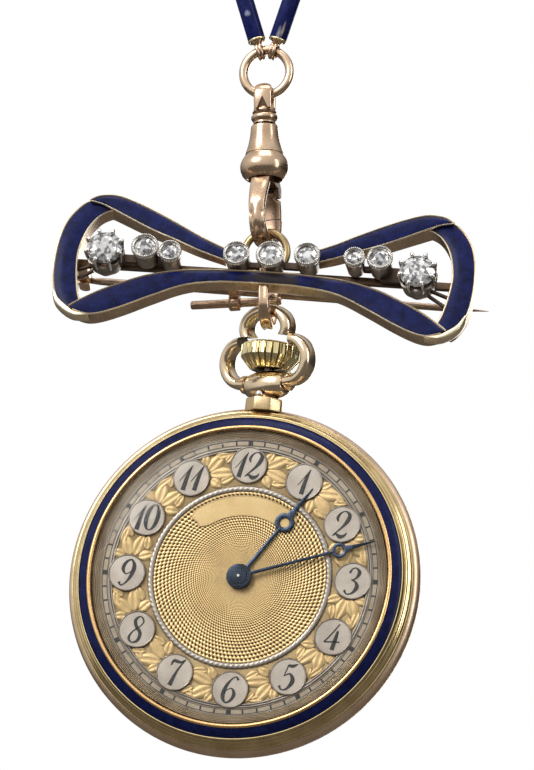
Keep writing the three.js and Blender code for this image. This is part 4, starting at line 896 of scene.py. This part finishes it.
def build_brooch_back():
    bars = [box_shape((-15.6, 1.73, -0.75), (15.0, 2.18, -0.15)),
            box_shape((-1.35, 1.73, -0.75), (-0.45, 2.23, 1.3))]
    for x, lean in ((-5.2, -0.6), (4.6, 0.6)):
        bars.append(rod((x, 1.9, -0.5), (x + lean, 1.2, -1.9), 0.28, 12))
    add_brooch_part("brooch_bar", [(together(*bars), ROSE_SHADE)], "rose_gold", ["back_bar"], bevel=0.06)
    loop = torus(1.7, 0.3, rings=64, sides=16)
    add_piece("brooch_top_loop", [(loop, LOOP_GOLD)], LOOP, "brooch", "rose_gold", ["top_loop"])

    x, y, z = PIN_PIVOT
    half, foot_low, foot_high = 0.45, -0.75, -0.15
    hinge = [
        box_shape((x - half, 2.21, foot_low), (x + half, y - 0.6, foot_high)),
        box_shape((x - half, y - 0.8, z - 0.75), (x + half, y - 0.5, z + 0.75)),
    ]
    ear = [(x - half, y - 0.6), (x + half, y - 0.6), *arc((x, y), (half, half), 0, 180, 12)]
    hinge += [flat_prism(ear, z + low, z + low + 0.35) for low in (-0.75, 0.4)]
    hinge.append(rod((x, y, z - 0.82), (x, y, z + 0.82), 0.14, 16))
    add_brooch_part("pin_hinge_yoke", [(together(*hinge), ROSE)], "rose_gold", ["pin_hinge"], bevel=0.04)

    tip_z = -0.62
    start, tip = Vector((x + 0.3, y, z)), Vector((17.0, y, tip_z))
    swell_end, shank_end = start.lerp(tip, 0.03), start.lerp(tip, 0.9)
    eye = shifted(turned(0.2, 0.4, -0.34, 0.34, 32, "Z", (0.04, 0.06)), x, y, z)
    pin = together(eye, rod(start, swell_end, 0.22, 20, 0.3), rod(swell_end, shank_end, 0.3, 20, 0.27),
                   rod(shank_end, tip, 0.27, 20, 0.02))
    add_piece("pin_needle", [(pin, PIN_METAL)], BROOCH, "pin_stem", "steel", ["pin_stem"], sharp=50)
    curl = side_line(arc((y, tip_z), (0.585, 0.585), 50, 310, 28), 14.6)
    catch = sweep(curl, oval_section(0.32, 0.9, 4, 16), (1, 0, 0))
    post = box_shape((14.15, 2.21, foot_low), (15.05, y - 0.5, foot_high))
    add_brooch_part("pin_c_catch", [(together(catch, post), ROSE)], "rose_gold", ["pin_catch"], sharp=50)


def hook_strip_section(t):
    """A strip with a groove in its front face, broadening along its length."""
    outline = oval_section(0.56, 0.8 + 0.14 * min(1, t / 0.35), 2.4, 20)
    return [(u + (0.14 * max(0.0, 1 - abs(v) / 0.3) if u < 0 else 0), v) for u, v in outline]


def build_watch_hook():
    """A flat strip curled under the watch's bow, its groove to the front, closed by a sliding bolt."""
    x, eye_y, eye_z = 0.25, 1.15, -18.6
    curve = arc((-0.87, -19.35), (1.77, 1.84), 180, 352, 30)
    path = side_line([(-2.35, -16.9), (-2.62, -17.7), (-2.64, -18.6), *curve, (eye_y - 0.1, eye_z - 0.3)], x)
    strip = sweep(smooth_line(path, 2), hook_strip_section, (1, 0, 0))
    eye = shifted(turned(0.4, 0.66, -0.5, 0.5, 36, "X", (0.06, 0.08)), x, eye_y, eye_z)
    tongue = side_prism([(-2.62, -16.6), (-1.2, -16.55), (-1.2, -17.0), (-2.3, -17.25)], x - 0.3, x + 0.3)
    add_piece("watch_hook_strip", [(together(strip, eye, tongue), ROSE)], ROW, "brooch", "rose_gold",
              ["watch_hook"], sharp=50)
    bolt = lathe([(0, -6.3), (0.28, -6.3), (0.34, -6.2), (0.34, 0.85), (0.26, 1.0), (0, 1.0)], 28, "X")
    add_piece("hook_bolt_rod", [(shifted(bolt, y=eye_y, z=eye_z), ROSE_DARK)], ROW, "hook_bolt", "rose_gold",
              ["hook_bolt"], sharp=50)
    sleeve = shifted(turned(0.4, 0.62, -3.2, -2.3, 32, "X", (0.07, 0.1)), y=eye_y, z=eye_z)
    strap = side_prism([(-1.3, -17.2), (-0.9, -17.05), (1.25, -18.2), (0.75, -18.45)], -3.1, -2.4)
    add_piece("bolt_sleeve", [(together(sleeve, strap), ROSE_DARK)], ROW, "brooch", "rose_gold",
              ["bolt_guide"], sharp=50)


# ---------------------------------------------------------------- watch bow, pendant and crown

CROWN_ROOM = ((-2.5, -2, 0.6), (2.5, 2, 3.74))

def build_bow():
    lobe_centre, lobe_radii = (2.38, 1.7), (1.66, 1.66)
    top_centre, top_radii = (0, 4.36), (2.06, 1.44)
    section = oval_section(0.92, 1.5, 2.7, 24)
    crown_room = box_shape(*CROWN_ROOM)
    shapes = []
    for sign in (-1, 1):
        lobe = [(2.0, 0.02), *arc(lobe_centre, lobe_radii, -78, 122, 46)]
        path = front_line([(sign * x, z) for x, z in lobe])
        shapes.append(without(sweep(smooth_line(path, 2), section), crown_room))
        boss = lathe([(0, 0.0), (0.62, 0.0), (0.72, 0.1), (0.72, 0.42), (0.5, 0.62), (0, 0.66)], 32, "X")
        boss_place = Matrix.Translation((sign * 1.92, 0, 0)) @ Matrix.Scale(sign, 4, (1, 0, 0))
        shapes.append(moved(boss, boss_place))
        shapes.append(rod((sign * 1.4, 0, 0), (sign * 2.2, 0, 0), 0.28, 16))
    arch = front_line(arc(top_centre, top_radii, -32, 212, 52))
    shapes.append(without(sweep(arch, section), crown_room))
    add_piece("watch_bow_trefoil", [(together(*shapes), BOW_GOLD)], BOW, "watch_bow", "rose_gold",
              ["watch_bow"], sharp=50)


def build_pendant():
    turn = math.atan2(BOW.col[0].y, BOW.col[0].x)
    half = [(0, 1.88), (0.62, 1.88), (0.8, 1.8), (0.98, 1.45), (1.12, 0.9)]
    barrel = lathe([(radius, -x) for radius, x in half] + [(1.2, 0)] + half[::-1], 64, "X")
    barrel = moved(barrel, Matrix.Translation((0, 0, 15.95)) @ Matrix.Rotation(turn, 4, "Z"))
    socket = without(barrel, rod((0, 0, 16.2), (0, 0, 18), 0.5, 32))
    saddle = lathe([(0, 14.7), (1.15, 14.7), (1.0, 14.95), (0.8, 15.2), (0, 15.3)], 40, "Z")
    rivet = moved(lathe([(0, 0), (0.3, 0), (0.26, 0.12), (0.12, 0.2), (0, 0.22)], 24, "Z"),
                  Matrix.Translation((-0.35, -1.02, 14.98)) @ Matrix.Rotation(math.radians(115), 4, "X"))
    octagon = arc((0, 0), (1.58, 1.45), 22.5, 337.5, 7)
    collar = flat_prism(octagon, 13.7, 14.78)
    add_case_part("pendant_collar", [(collar, COLLAR_GOLD)], "yellow_gold", bevel=0.16)
    add_case_part("pendant_barrel", [(socket, BOW_GOLD), (saddle, ROSE_DARK), (rivet, SILVER)], "rose_gold",
                  ["pendant"], sharp=45)


def build_crown():
    flutes, radius = 26, 2.37

    def ripple(r, height, angle):
        if r < 1.2:
            return 0.0
        share = angle * flutes / (2 * math.pi) % 1.0
        groove = max(0.0, 1 - abs(share - 0.5) / 0.17)
        flank = 0.05 * abs(2 * share - 1)
        return -(0.17 * groove + flank) * min(1.0, (r - 1.1) / 0.6)

    profile = [(0, 17.18), (1.2, 17.18), (1.5, 17.2), (1.62, 17.25), (2.3, 18.02), (radius, 18.1),
               (radius, 18.98), (2.25, 19.12), (2.0, 19.22), (1.5, 19.2), (0, 19.18)]
    add_piece("crown_knob", [(lathe(profile, flutes * 12, "Z", ripple), CROWN_GOLD)], WATCH, "crown",
              "yellow_gold", ["crown"], sharp=28)
    pinion_low, pinion_high = 8.7, 9.6
    tooth = box_shape((-0.12, 0.7, pinion_low), (0.12, 1.0, pinion_high))
    parts = [turned(0, 0.4, 8.2, 17.3, 24, "Z"), turned(0.4, 0.75, pinion_low, pinion_high, 24, "Z")]
    parts += [moved(tooth, Matrix.Rotation(i * math.pi / 6, 4, "Z")) for i in range(12)]
    add_piece("winding_stem_pinion", [(together(*parts), STEEL)], WATCH, "winding_stem", "steel",
              ["winding_stem"], sharp=35)


# ---------------------------------------------------------------- case, lathe profiles as (radius, y)

ROUND = 180


def build_case():
    middle = lathe([
        (12.35, -0.68), (13.5, -0.68), (13.62, -0.64), (13.8, -0.5), (13.93, -0.28), (14.0, -0.05),
        (14.0, 0.18), (13.93, 0.38), (13.8, 0.56), (13.62, 0.7), (13.5, 0.75), (12.35, 0.75)], ROUND)
    for tool in (box_shape((-14.4, 0.05, -1.7), (-13.1, 0.95, 1.7)), rod((0, 0, 11), (0, 0, 15), 0.46, 16)):
        middle = without(middle, tool)
    add_case_part("case_band", [(middle, BAND_ROSE)], "rose_gold", ["case_middle"], sharp=35)
    bezel = lathe([
        (12.4, -0.71), (12.4, -1.72), (12.1, -1.72), (12.1, -2.0), (12.82, -1.6), (12.83, -1.86),
        (12.86, -1.9), (12.92, -1.9), (12.97, -1.84), (13.0, -1.62), (13.04, -1.52), (13.12, -1.5),
        (13.17, -1.45), (13.18, -1.36), (13.24, -1.27), (13.36, -1.2), (13.44, -1.13), (13.47, -1.04),
        (13.5, -0.97), (13.57, -0.95), (13.6, -0.88), (13.6, -0.76), (13.56, -0.71)], ROUND)
    lip = lathe([(11.8, -1.74), (11.79, -2.26), (11.83, -2.35), (11.92, -2.41), (12.02, -2.41),
                 (12.11, -2.35), (12.15, -2.26), (12.155, -1.74)], ROUND)
    add_case_part("bezel_ring", [(bezel, BEZEL_GOLD), (lip, LIP_GOLD)], "yellow_gold", ["bezel"], sharp=35)
    enamel_ring = lathe([(12.155, -2.05), (12.82, -1.64), (12.825, -1.84), (12.7, -1.97), (12.5, -2.1),
                         (12.3, -2.21), (12.155, -2.28)], ROUND)
    add_case_part("bezel_enamel_ring", [(enamel_ring, ENAMEL_DARK)], "blue_enamel", ["bezel_enamel"],
                  sharp=45)
    dome = [(0, -3.22), (3, -3.19), (6, -3.1), (9, -2.92), (10.6, -2.72), (11.3, -2.56), (11.72, -2.36),
            (11.72, -2.15), (11.2, -2.38), (10.6, -2.52), (9, -2.72), (6, -2.9), (3, -2.99), (0, -3.02)]
    add_case_part("crystal_dome", [(lathe(dome, 128), CRYSTAL)], "crystal", ["crystal"], sharp=60)


def build_back_cover():
    """The domed back, and the hinge at its side with one knuckle on the cover and two on the case."""
    outside = smooth_line([(3, 3.55), (5, 3.47), (7, 3.27), (9, 2.95), (10.5, 2.6), (12, 2.02), (12.9, 1.55),
                           (13.35, 1.2)], 3)
    cover = lathe([(0, 3.55), *outside, (13.45, 1.05), (13.45, 0.84), (13.38, 0.79), (12.75, 0.79),
                   (12.2, 1.55), (10.3, 2.3), (6.9, 3.02), (3, 3.27), (0, 3.27)], ROUND)
    x, y = -13.6, 0.5

    def hinge_rod(low, high, radius, sides):
        return rod((x, y, low), (x, y, high), radius, sides)

    for low in (-1.56, 0.44):
        cover = without(cover, hinge_rod(low, low + 1.12, 0.42, 24))
    leaf = box_shape((x, 0.72, -0.44), (-13.2, 1.0, 0.44))
    thumb = moved(lathe([(0, 0), (0.5, 0), (0.45, 0.1), (0, 0.14)], 24, "X"),
                  Matrix.Translation((13.38, 0.98, 0)) @ Matrix.Scale(1.6, 4, (0, 0, 1)))
    shell = together(cover, hinge_rod(-0.44, 0.44, 0.36, 20), leaf, thumb)
    add_piece("back_cover_shell", [(shell, YELLOW)], WATCH, "back_cover", "yellow_gold", ["back_cover"],
              sharp=35)
    knuckles = [hinge_rod(-1.55, 1.55, 0.15, 16), box_shape((-13.22, 0.1, -1.5), (-13.12, 0.44, 1.5))]
    for low in (-1.5, 0.5):
        knuckles += [hinge_rod(low, low + 1, 0.36, 20), box_shape((x, 0.2, low), (-13.15, 0.5, low + 1))]
    add_case_part("cover_hinge_knuckles", [(together(*knuckles), YELLOW)], "yellow_gold", ["cover_hinge"])


# ---------------------------------------------------------------- dial

DIAL_Y = -1.85
NUMERAL_RADIUS = 9.0
DISC_RADIUS = 1.5
DISC_HEIGHT = 0.16
PAINT_FRONT, PAINT_BACK = DIAL_Y - 0.185, DIAL_Y - 0.15


def clock_place(radius, degrees):
    """x and z at an angle clockwise from 12."""
    angle = math.radians(degrees)
    return radius * math.sin(angle), radius * math.cos(angle)


def build_dial_base():
    base = lathe([(0.75, DIAL_Y + 0.02), (11.0, DIAL_Y + 0.02), (11.7, -2.05), (11.7, -1.3), (11.2, -1.3),
                  (11.2, -1.62), (0.75, -1.62)], ROUND)
    add_dial_part("dial_plate", [(base, DIAL_GROUND)], ["dial"], sharp=35)

    def ridges(r, height, angle):
        return 0.02 * math.sin(300 * angle + 9 * (r - 11))

    steps = [(11.06, DIAL_Y + 0.01)]
    for step in range(5):
        inner, rise = 11.08 + 0.125 * step, DIAL_Y - 0.05 - 0.038 * step
        steps += [(inner, rise), (inner + 0.035, rise - 0.045), (inner + 0.085, rise - 0.045),
                  (inner + 0.11, rise)]
    steps += [(11.72, DIAL_Y - 0.23), (11.72, DIAL_Y)]
    add_dial_part("dial_rehaut", [(lathe(steps, 1500, ripple=ridges), REHAUT)], sharp=60)
    track = turned(10.5, 11.02, DIAL_Y - 0.03, DIAL_Y + 0.01, 240)
    beads = [torus(radius, wire, (0, DIAL_Y - 0.03, 0), 240, 8)
             for radius, wire in ((10.22, 0.07), (10.4, 0.085), (11.04, 0.05))]
    add_dial_part("dial_minute_ring", [(track, DIAL_TRACK), (together(*beads), DIAL_RING)])
    marks = [turned(radius - 0.025, radius + 0.025, DIAL_Y - 0.04, DIAL_Y, 240) for radius in (10.58, 10.95)]
    for minute in range(60):
        half_width = 0.19 if minute % 5 == 0 else 0.065
        mark = box_shape((-half_width, DIAL_Y - 0.042, 10.56), (half_width, DIAL_Y, 10.97))
        marks.append(moved(mark, Matrix.Rotation(math.radians(minute * 6), 4, "Y")))
    add_dial_part("dial_minute_track", [(together(*marks), INK)], flat=True)


def build_engine_turning():
    """Two sets of crossing spirals cut little pyramids, finer towards the centre."""
    cells, around, out = 128, 960, 300
    inner, outer, depth, swirl = 0.9, 6.84, 0.045, 0.42
    full_depth_from = 4

    def relief(radius, turn):
        """1 on the peaks, 0 in the pits."""
        swirled = turn + swirl * math.log(radius)
        return 0.5 + 0.25 * (math.cos(cells * math.log(radius)) - math.cos(cells * swirled))

    def point_at(row, column):
        turn = 2 * math.pi * row / around
        radius = inner * (outer / inner) ** (column / (out - 1))
        lift = depth * relief(radius, turn) * min(1.0, radius / full_depth_from)
        return radius * math.sin(turn), DIAL_Y - lift, radius * math.cos(turn)

    shape = grid(around, out, point_at, wrap_rows=True)
    piece = add_dial_part("dial_engine_turning", [(shape, TURNED)], sharp=89)
    cut = piece.data.attributes.new("cut", "FLOAT", "POINT")
    for index, vertex in enumerate(piece.data.vertices):
        radius = max(inner, math.hypot(vertex.co.x, vertex.co.z))
        cut.data[index].value = relief(radius, math.atan2(vertex.co.x, vertex.co.z))


def build_cartouche():
    """The blank label above the centre, with a beaded edge."""
    top = [clock_place(6.52, angle) for angle in range(-38, 35, 4)]
    bottom = [clock_place(4.95, angle) for angle in range(30, -31, -4)]
    end = ((6.52, 38), (6.25, 42), (5.75, 41), (5.25, 41), (4.95, 34))
    right = smooth_line([clock_place(*place) for place in end], 5)
    left = [(-x, z) for x, z in reversed(right)]
    outline = top + right + bottom + left[:-1]
    edge = sweep(front_line(outline, DIAL_Y - 0.08), oval_section(0.09, 0.07, 2, 8), closed=True)
    label = prism(outline, DIAL_Y - 0.09, DIAL_Y)
    add_dial_part("dial_cartouche", [(together(label, edge), DIAL_GOLD)], sharp=45)


def build_rope():
    """The twisted silver wire between the engine turning and the chapter ring."""
    twists, steps, sides, radius, wire = 110, 1320, 12, 7.1, 0.25

    def point_at(row, column):
        turn = 2 * math.pi * row / steps
        around = 2 * math.pi * column / sides
        swell = wire * (0.82 + 0.18 * abs(math.sin(twists / 2 * turn + around)))
        reach = radius + swell * math.cos(around)
        return reach * math.sin(turn), DIAL_Y - 0.02 - 0.55 * swell * math.sin(around), reach * math.cos(turn)

    rope = grid(steps, sides, point_at, wrap_rows=True, wrap_columns=True)
    add_dial_part("dial_rope", [(rope, DIAL_RING)], sharp=70)


def leaf_shape(length, width, height):
    """A pointed leaf along +x with a sunk midrib."""
    rows, columns = 15, 9

    def point_at(row, column):
        u = row / (rows - 1)
        v = 2 * column / (columns - 1) - 1
        half = width / 2 * math.sin(math.pi * u ** 0.75) ** 0.8 if 0 < u < 1 else 0.0
        dome = math.sqrt(max(0.0, 1 - v * v)) * (1 - 0.75 * math.exp(-(v / 0.18) ** 2))
        ribs = 1 + 0.12 * math.cos(14 * u - 3 * abs(v))
        lift = height * dome * ribs * math.sin(math.pi * u) ** 0.5 if 0 < u < 1 else 0.0
        return length * u, DIAL_Y - 0.005 - lift, half * v

    return grid(rows, columns, point_at)


LEAVES = (  # start radius, start angle, direction from clockwise, length, width
    (8.95, 9.0, 30, 1.9, 0.8), (8.7, 9.2, -14, 2.1, 0.78), (9.35, 8.6, 72, 1.05, 0.62),
    (8.3, 9.0, -60, 1.15, 0.66), (9.95, 14.0, -6, 1.35, 0.55), (7.8, 14.0, 14, 1.25, 0.58),
    (9.3, 18.5, 44, 1.0, 0.46),
)


def build_chapter_ring():
    discs, rims, leaves = [], [], []
    edge_radius = DISC_RADIUS - 0.08
    for hour in range(12):
        x, z = clock_place(NUMERAL_RADIUS, hour * 30)
        disc = lathe([(0, DIAL_Y - DISC_HEIGHT), (DISC_RADIUS - 0.1, DIAL_Y - DISC_HEIGHT),
                      (edge_radius, DIAL_Y), (0, DIAL_Y)], 64)
        discs.append(shifted(disc, x=x, z=z))
        rims.append(torus(edge_radius, 0.06, (x, DIAL_Y - 0.15, z), 64, 8))
        for radius, angle, direction, length, width in LEAVES:
            spread = 1 + 0.12 * math.sin(hour * 7.3 + angle * 3.1 + direction)
            shape = leaf_shape(length * spread * 1.1, width * 1.35, 0.085)
            place = hour * 30 + angle
            px, pz = clock_place(radius, place)
            turn = Matrix.Rotation(math.radians(place - direction * spread), 4, "Y")
            leaves.append(moved(shape, Matrix.Translation((px, 0, pz)) @ turn))
    hour_discs = [(together(*discs), DIAL_SILVER), (together(*rims), DIAL_RING)]
    add_dial_part("dial_hour_discs", hour_discs, sharp=45)
    add_dial_part("dial_foliage", [(together(*leaves), DIAL_LEAF)], sharp=80)


DIGITS = {  # strokes of (x, y, width) points, in digit heights
    "1": [[(0.36, 0.97, 0.03), (0.3, 0.72, 0.10), (0.26, 0.4, 0.15), (0.24, 0.02, 0.17)],
          [(0.33, 0.9, 0.035), (0.16, 0.6, 0.03), (0.02, 0.36, 0.02)]],
    "2": [[(0.12, 0.6, 0.04), (0.06, 0.74, 0.10), (0.14, 0.92, 0.06), (0.3, 0.99, 0.04), (0.48, 0.86, 0.13),
           (0.47, 0.64, 0.15), (0.32, 0.38, 0.08), (0.06, 0.08, 0.04)],
          [(0.04, 0.05, 0.03), (0.16, 0.12, 0.06), (0.32, 0.02, 0.15), (0.48, 0.06, 0.09),
           (0.55, 0.18, 0.03)]],
    "3": [[(0.1, 0.8, 0.09), (0.16, 0.95, 0.05), (0.3, 0.99, 0.05), (0.46, 0.82, 0.14), (0.38, 0.6, 0.07),
           (0.22, 0.53, 0.03)],
          [(0.22, 0.53, 0.03), (0.4, 0.46, 0.08), (0.5, 0.26, 0.16), (0.38, 0.04, 0.08), (0.18, 0.0, 0.05),
           (0.06, 0.14, 0.1)]],
    "4": [[(0.42, 0.98, 0.04), (0.22, 0.62, 0.05), (0.0, 0.3, 0.05)],
          [(0.0, 0.3, 0.05), (0.3, 0.31, 0.05), (0.58, 0.3, 0.04)],
          [(0.42, 0.72, 0.08), (0.4, 0.4, 0.14), (0.37, 0.0, 0.16)]],
    "5": [[(0.2, 0.94, 0.04), (0.17, 0.74, 0.04), (0.13, 0.52, 0.03)],
          [(0.19, 0.93, 0.07), (0.36, 0.9, 0.12), (0.54, 0.98, 0.03)],
          [(0.13, 0.52, 0.03), (0.34, 0.6, 0.07), (0.5, 0.34, 0.17), (0.36, 0.04, 0.08), (0.16, 0.0, 0.05),
           (0.05, 0.15, 0.1)]],
    "6": [[(0.5, 0.86, 0.1), (0.4, 0.98, 0.05), (0.24, 0.88, 0.06), (0.1, 0.58, 0.13), (0.08, 0.24, 0.15),
           (0.24, 0.0, 0.06), (0.42, 0.1, 0.1), (0.48, 0.34, 0.13), (0.34, 0.54, 0.05), (0.18, 0.48, 0.03),
           (0.1, 0.34, 0.03)]],
    "7": [[(0.08, 0.76, 0.05), (0.14, 0.93, 0.11), (0.3, 0.9, 0.12), (0.44, 0.88, 0.08), (0.58, 0.98, 0.04)],
          [(0.56, 0.96, 0.04), (0.36, 0.55, 0.08), (0.22, 0.0, 0.17)]],
    "8": [[(0.42, 0.9, 0.06), (0.28, 0.99, 0.05), (0.14, 0.84, 0.12), (0.24, 0.6, 0.13), (0.44, 0.36, 0.13),
           (0.42, 0.08, 0.11), (0.22, 0.0, 0.05), (0.06, 0.16, 0.09), (0.14, 0.4, 0.05), (0.34, 0.58, 0.04),
           (0.46, 0.76, 0.05), (0.42, 0.9, 0.06)]],
    "9": [[(0.08, 0.14, 0.1), (0.18, 0.02, 0.05), (0.34, 0.12, 0.06), (0.48, 0.42, 0.13), (0.5, 0.76, 0.15),
           (0.34, 1.0, 0.06), (0.16, 0.9, 0.1), (0.1, 0.66, 0.13), (0.24, 0.46, 0.05), (0.4, 0.52, 0.03),
           (0.48, 0.66, 0.03)]],
}
DIGITS["0"] = [[(0.28 + 0.21 * math.cos(step * math.pi / 6), 0.5 + 0.48 * math.sin(step * math.pi / 6),
                 0.04 + 0.13 * abs(math.cos(step * math.pi / 6)) ** 1.6) for step in range(13)]]


SLANT = 0.2


def stroke_shape(points, height, origin):
    """A flat brush stroke of changing width."""
    line = smooth_line([(x + SLANT * y, y, width) for x, y, width in points], 5)
    left, right = [], []
    for index, (x, y, width) in enumerate(line):
        before, after = line[max(0, index - 1)], line[min(len(line) - 1, index + 1)]
        direction = Vector((after[0] - before[0], after[1] - before[1])).normalized()
        normal = Vector((-direction.y, direction.x))
        left.append(Vector((x, y)) + normal * width / 2)
        right.append(Vector((x, y)) - normal * width / 2)

    def point_at(row, column):
        point = (left, right)[column in (1, 2)][row]
        y = PAINT_FRONT if column < 2 else PAINT_BACK
        return origin[0] + point.x * height, y, origin[1] + point.y * height

    return capped(len(line), 4, point_at)


def build_numerals():
    height, strokes = 2.1, []
    for hour in range(1, 13):
        text = str(hour)
        x, z = clock_place(NUMERAL_RADIUS, hour * 30)
        widths = [0.43 if digit == "1" else 0.56 for digit in text]
        start = x - height * (sum(widths) + SLANT) / 2
        for digit, width in zip(text, widths):
            strokes += [stroke_shape(stroke, height, (start, z - height / 2)) for stroke in DIGITS[digit]]
            start += width * height
    add_dial_part("dial_numerals", [(together(*strokes), INK)], flat=True)


def hand_shape(length, ring_at, ring_radius, front, root_width):
    """A Breguet hand: a fine blade, an open ring and a pointed tip, its upper face ridged."""
    back, ridge = front + 0.1, front - 0.05

    section = ((-0.5, back), (-0.5, front), (0, ridge), (0.5, front), (0.5, back))

    def blade(*ends):
        """A bar between two (z, width) ends."""
        def point_at(row, column):
            (z, width), (side, y) = ends[row], section[column]
            return side * width, y, z

        return capped(2, len(section), point_at)

    wire, flatness = ring_radius * 0.26, 0.45
    ring = moved(torus(ring_radius - wire * 0.8, wire, (0, (front + back) / 2 / flatness, ring_at), 40, 10),
                 Matrix.Scale(flatness, 4, (0, 1, 0)))
    past_ring = ring_at + ring_radius
    return together(
        ring,
        blade((0.8, root_width), (ring_at - ring_radius * 0.7, root_width * 0.8)),
        blade((ring_at + ring_radius * 0.8, root_width * 2.1), (past_ring + 0.45, root_width * 1.3)),
        blade((past_ring + 0.4, root_width * 1.3), (length, 0.05)))


HANDS = (  # name, degrees from 12, length, ring place and radius, front, root width, tube radii, nodes
    ("hour", 36.0, (8.97, 5.5, 0.74, -2.1, 0.3), (0.45, 0.62, -1.07), ["hour_hand"]),
    ("minute", 73.3, (11.1, 8.16, 0.6, -2.3, 0.26), (0.25, 0.4, -0.98), ["minute_hand", "cannon_pinion"]),
)


def build_hands():
    for name, degrees, sizes, (bore, tube_radius, foot), nodes in HANDS:
        where = FACE @ Matrix.Rotation(math.radians(degrees), 4, "Y")
        front = sizes[3]
        hub = lathe([(0.3, front + 0.1), (0.96, front + 0.1), (1.0, front + 0.05), (0.98, front - 0.02),
                     (0.86, front - 0.06), (0.3, front - 0.06)], 64)
        tube = turned(bore, tube_radius, foot, front, 32)
        parts = [(hand_shape(*sizes), BLUED), (hub, HUB_BLUED), (tube, STEEL)]
        if name == "minute":
            cap = lathe([(0, front - 0.14), (0.55, front - 0.13), (0.66, front - 0.1), (0.7, front - 0.05),
                         (0.7, front + 0.02), (0, front + 0.02)], 48)
            pivot = lathe([(0, front - 0.17), (0.1, front - 0.16), (0.13, front - 0.12),
                           (0, front - 0.12)], 24)
            parts += [(cap, HUB_BLUED), (pivot, STEEL)]
        add_piece(f"{name}_hand_breguet", parts, where, f"{name}_hand", "blued_steel", nodes, sharp=30)


# ---------------------------------------------------------------- movement


def build_movement():
    """The movement keeps its CAD shapes and gets its metals here."""
    metals = {"gilt_brass": GILT, "steel": CAD_STEEL, "blued_steel": CAD_BLUED}
    for entry in frame["record"]["subparts"]:
        node = frame["nodes"][entry["node"]]
        if entry["material_slot"] in metals:
            node.data.materials.clear()
            node.data.materials.append(metals[entry["material_slot"]])


# ---------------------------------------------------------------- camera, light and floor

FLOOR_LEVEL = -0.34
FLOOR_REACH = 1.6
SKY_TOWARDS = (-0.2, -0.55, 0.8)
SKY_STOPS = ((0.2, 0.03), (0.38, 0.06), (0.55, 0.45), (0.66, 0.7), (0.82, 0.85), (0.92, 1.0))
LAMPS = (  # place, size, watts
    ("key", (-0.42, -0.62, 0.46), (0.45, 0.45), 4.5),
    ("side", (0.75, -0.25, 0.12), (0.12, 0.7), 1.6),
    ("top", (0.05, -0.15, 0.8), (0.5, 0.35), 2.0),
    ("back", (0.1, 0.9, 0.1), (0.5, 0.5), 2.2),
)
LAMP_TARGET = Vector((0, 0, -0.025))
CAMERA_TARGET = Vector((0.000041, 0, -0.025746))


def facing(away):
    """The turn of a lamp or camera that looks along -away."""
    return (-away).to_track_quat("-Z", "Y").to_euler()


def build_floor():
    around = ((-1, -1), (1, -1), (1, 1), (-1, 1))
    corners = [(FLOOR_REACH * x, FLOOR_REACH * y, FLOOR_LEVEL) for x, y in around]
    mesh = bpy.data.meshes.new("floor")
    mesh.from_pydata(corners, [], [(0, 1, 2, 3)])
    g = Graph("floor_paper")
    # Pale to the camera; to every other ray a painted dark sheet, so the metal mirrors dark below and no light
    # bounces up.
    seen = g.add("ShaderNodeLightPath").outputs["Is Camera Ray"]
    paper = g.mix(seen, (0.10, 0.09, 0.08), (0.86, 0.86, 0.85))
    mesh.materials.append(g.principled({"Base Color": paper, "Roughness": 0.9}))
    plane = bpy.data.objects.new("floor", mesh)
    bpy.context.scene.collection.objects.link(plane)


def build_light():
    """White behind the object; what the metal mirrors is light from above and dark below."""
    g = Graph("studio", bpy.data.worlds)
    bpy.context.scene.world = g.owner
    direction = g.add("ShaderNodeTexCoord").outputs["Generated"]
    towards = g.add("ShaderNodeVectorMath", {0: direction, 1: Vector(SKY_TOWARDS).normalized()},
                    operation="DOT_PRODUCT").outputs["Value"]
    sky = g.add("ShaderNodeValToRGB", {0: g.ramp(towards, -1, 1)})
    while len(sky.color_ramp.elements) < len(SKY_STOPS):
        sky.color_ramp.elements.new(0.5)
    for element, (position, value) in zip(sky.color_ramp.elements, SKY_STOPS):
        element.position = position
        element.color = (value, value * 0.985, value * 0.96, 1)
    lit = g.add("ShaderNodeBackground", {0: sky.outputs[0]})
    seen = g.add("ShaderNodeBackground", {0: (1, 1, 1)})
    camera_ray = g.add("ShaderNodeLightPath").outputs["Is Camera Ray"]
    g.finish(g.mix_shaders(camera_ray, lit, seen), "World")
    for name, place, size, watts in LAMPS:
        data = bpy.data.lights.new(name, "AREA")
        data.shape = "RECTANGLE"
        data.size, data.size_y = size
        data.energy = watts
        lamp = bpy.data.objects.new(name, data)
        lamp.location = place
        lamp.rotation_euler = facing(Vector(place) - LAMP_TARGET)
        bpy.context.scene.collection.objects.link(lamp)


def build_camera():
    azimuth, elevation, distance = math.radians(10.8), math.radians(-15.0), 0.6
    away = Vector((math.sin(azimuth) * math.cos(elevation), -math.cos(azimuth) * math.cos(elevation),
                   math.sin(elevation)))
    data = bpy.data.cameras.new("camera")
    data.sensor_fit = "VERTICAL"
    data.sensor_height = 36
    data.lens = 356.4
    data.clip_start = 0.01
    camera = bpy.data.objects.new("camera", data)
    camera.location = CAMERA_TARGET + away * distance
    camera.rotation_euler = facing(away)
    bpy.context.scene.collection.objects.link(camera)
    bpy.context.scene.camera = camera
    bpy.context.scene.view_settings.view_transform = "Standard"


build_camera()
build_floor()
build_light()
build_chain()
build_clasp()
for side, sign in (("left", -1), ("right", 1)):
    build_ribbon(side, sign)
build_settings()
build_brooch_back()
build_watch_hook()
build_bow()
build_pendant()
build_crown()
build_case()
build_back_cover()
build_dial_base()
build_engine_turning()
build_cartouche()
build_rope()
build_chapter_ring()
build_numerals()
build_hands()
build_movement()
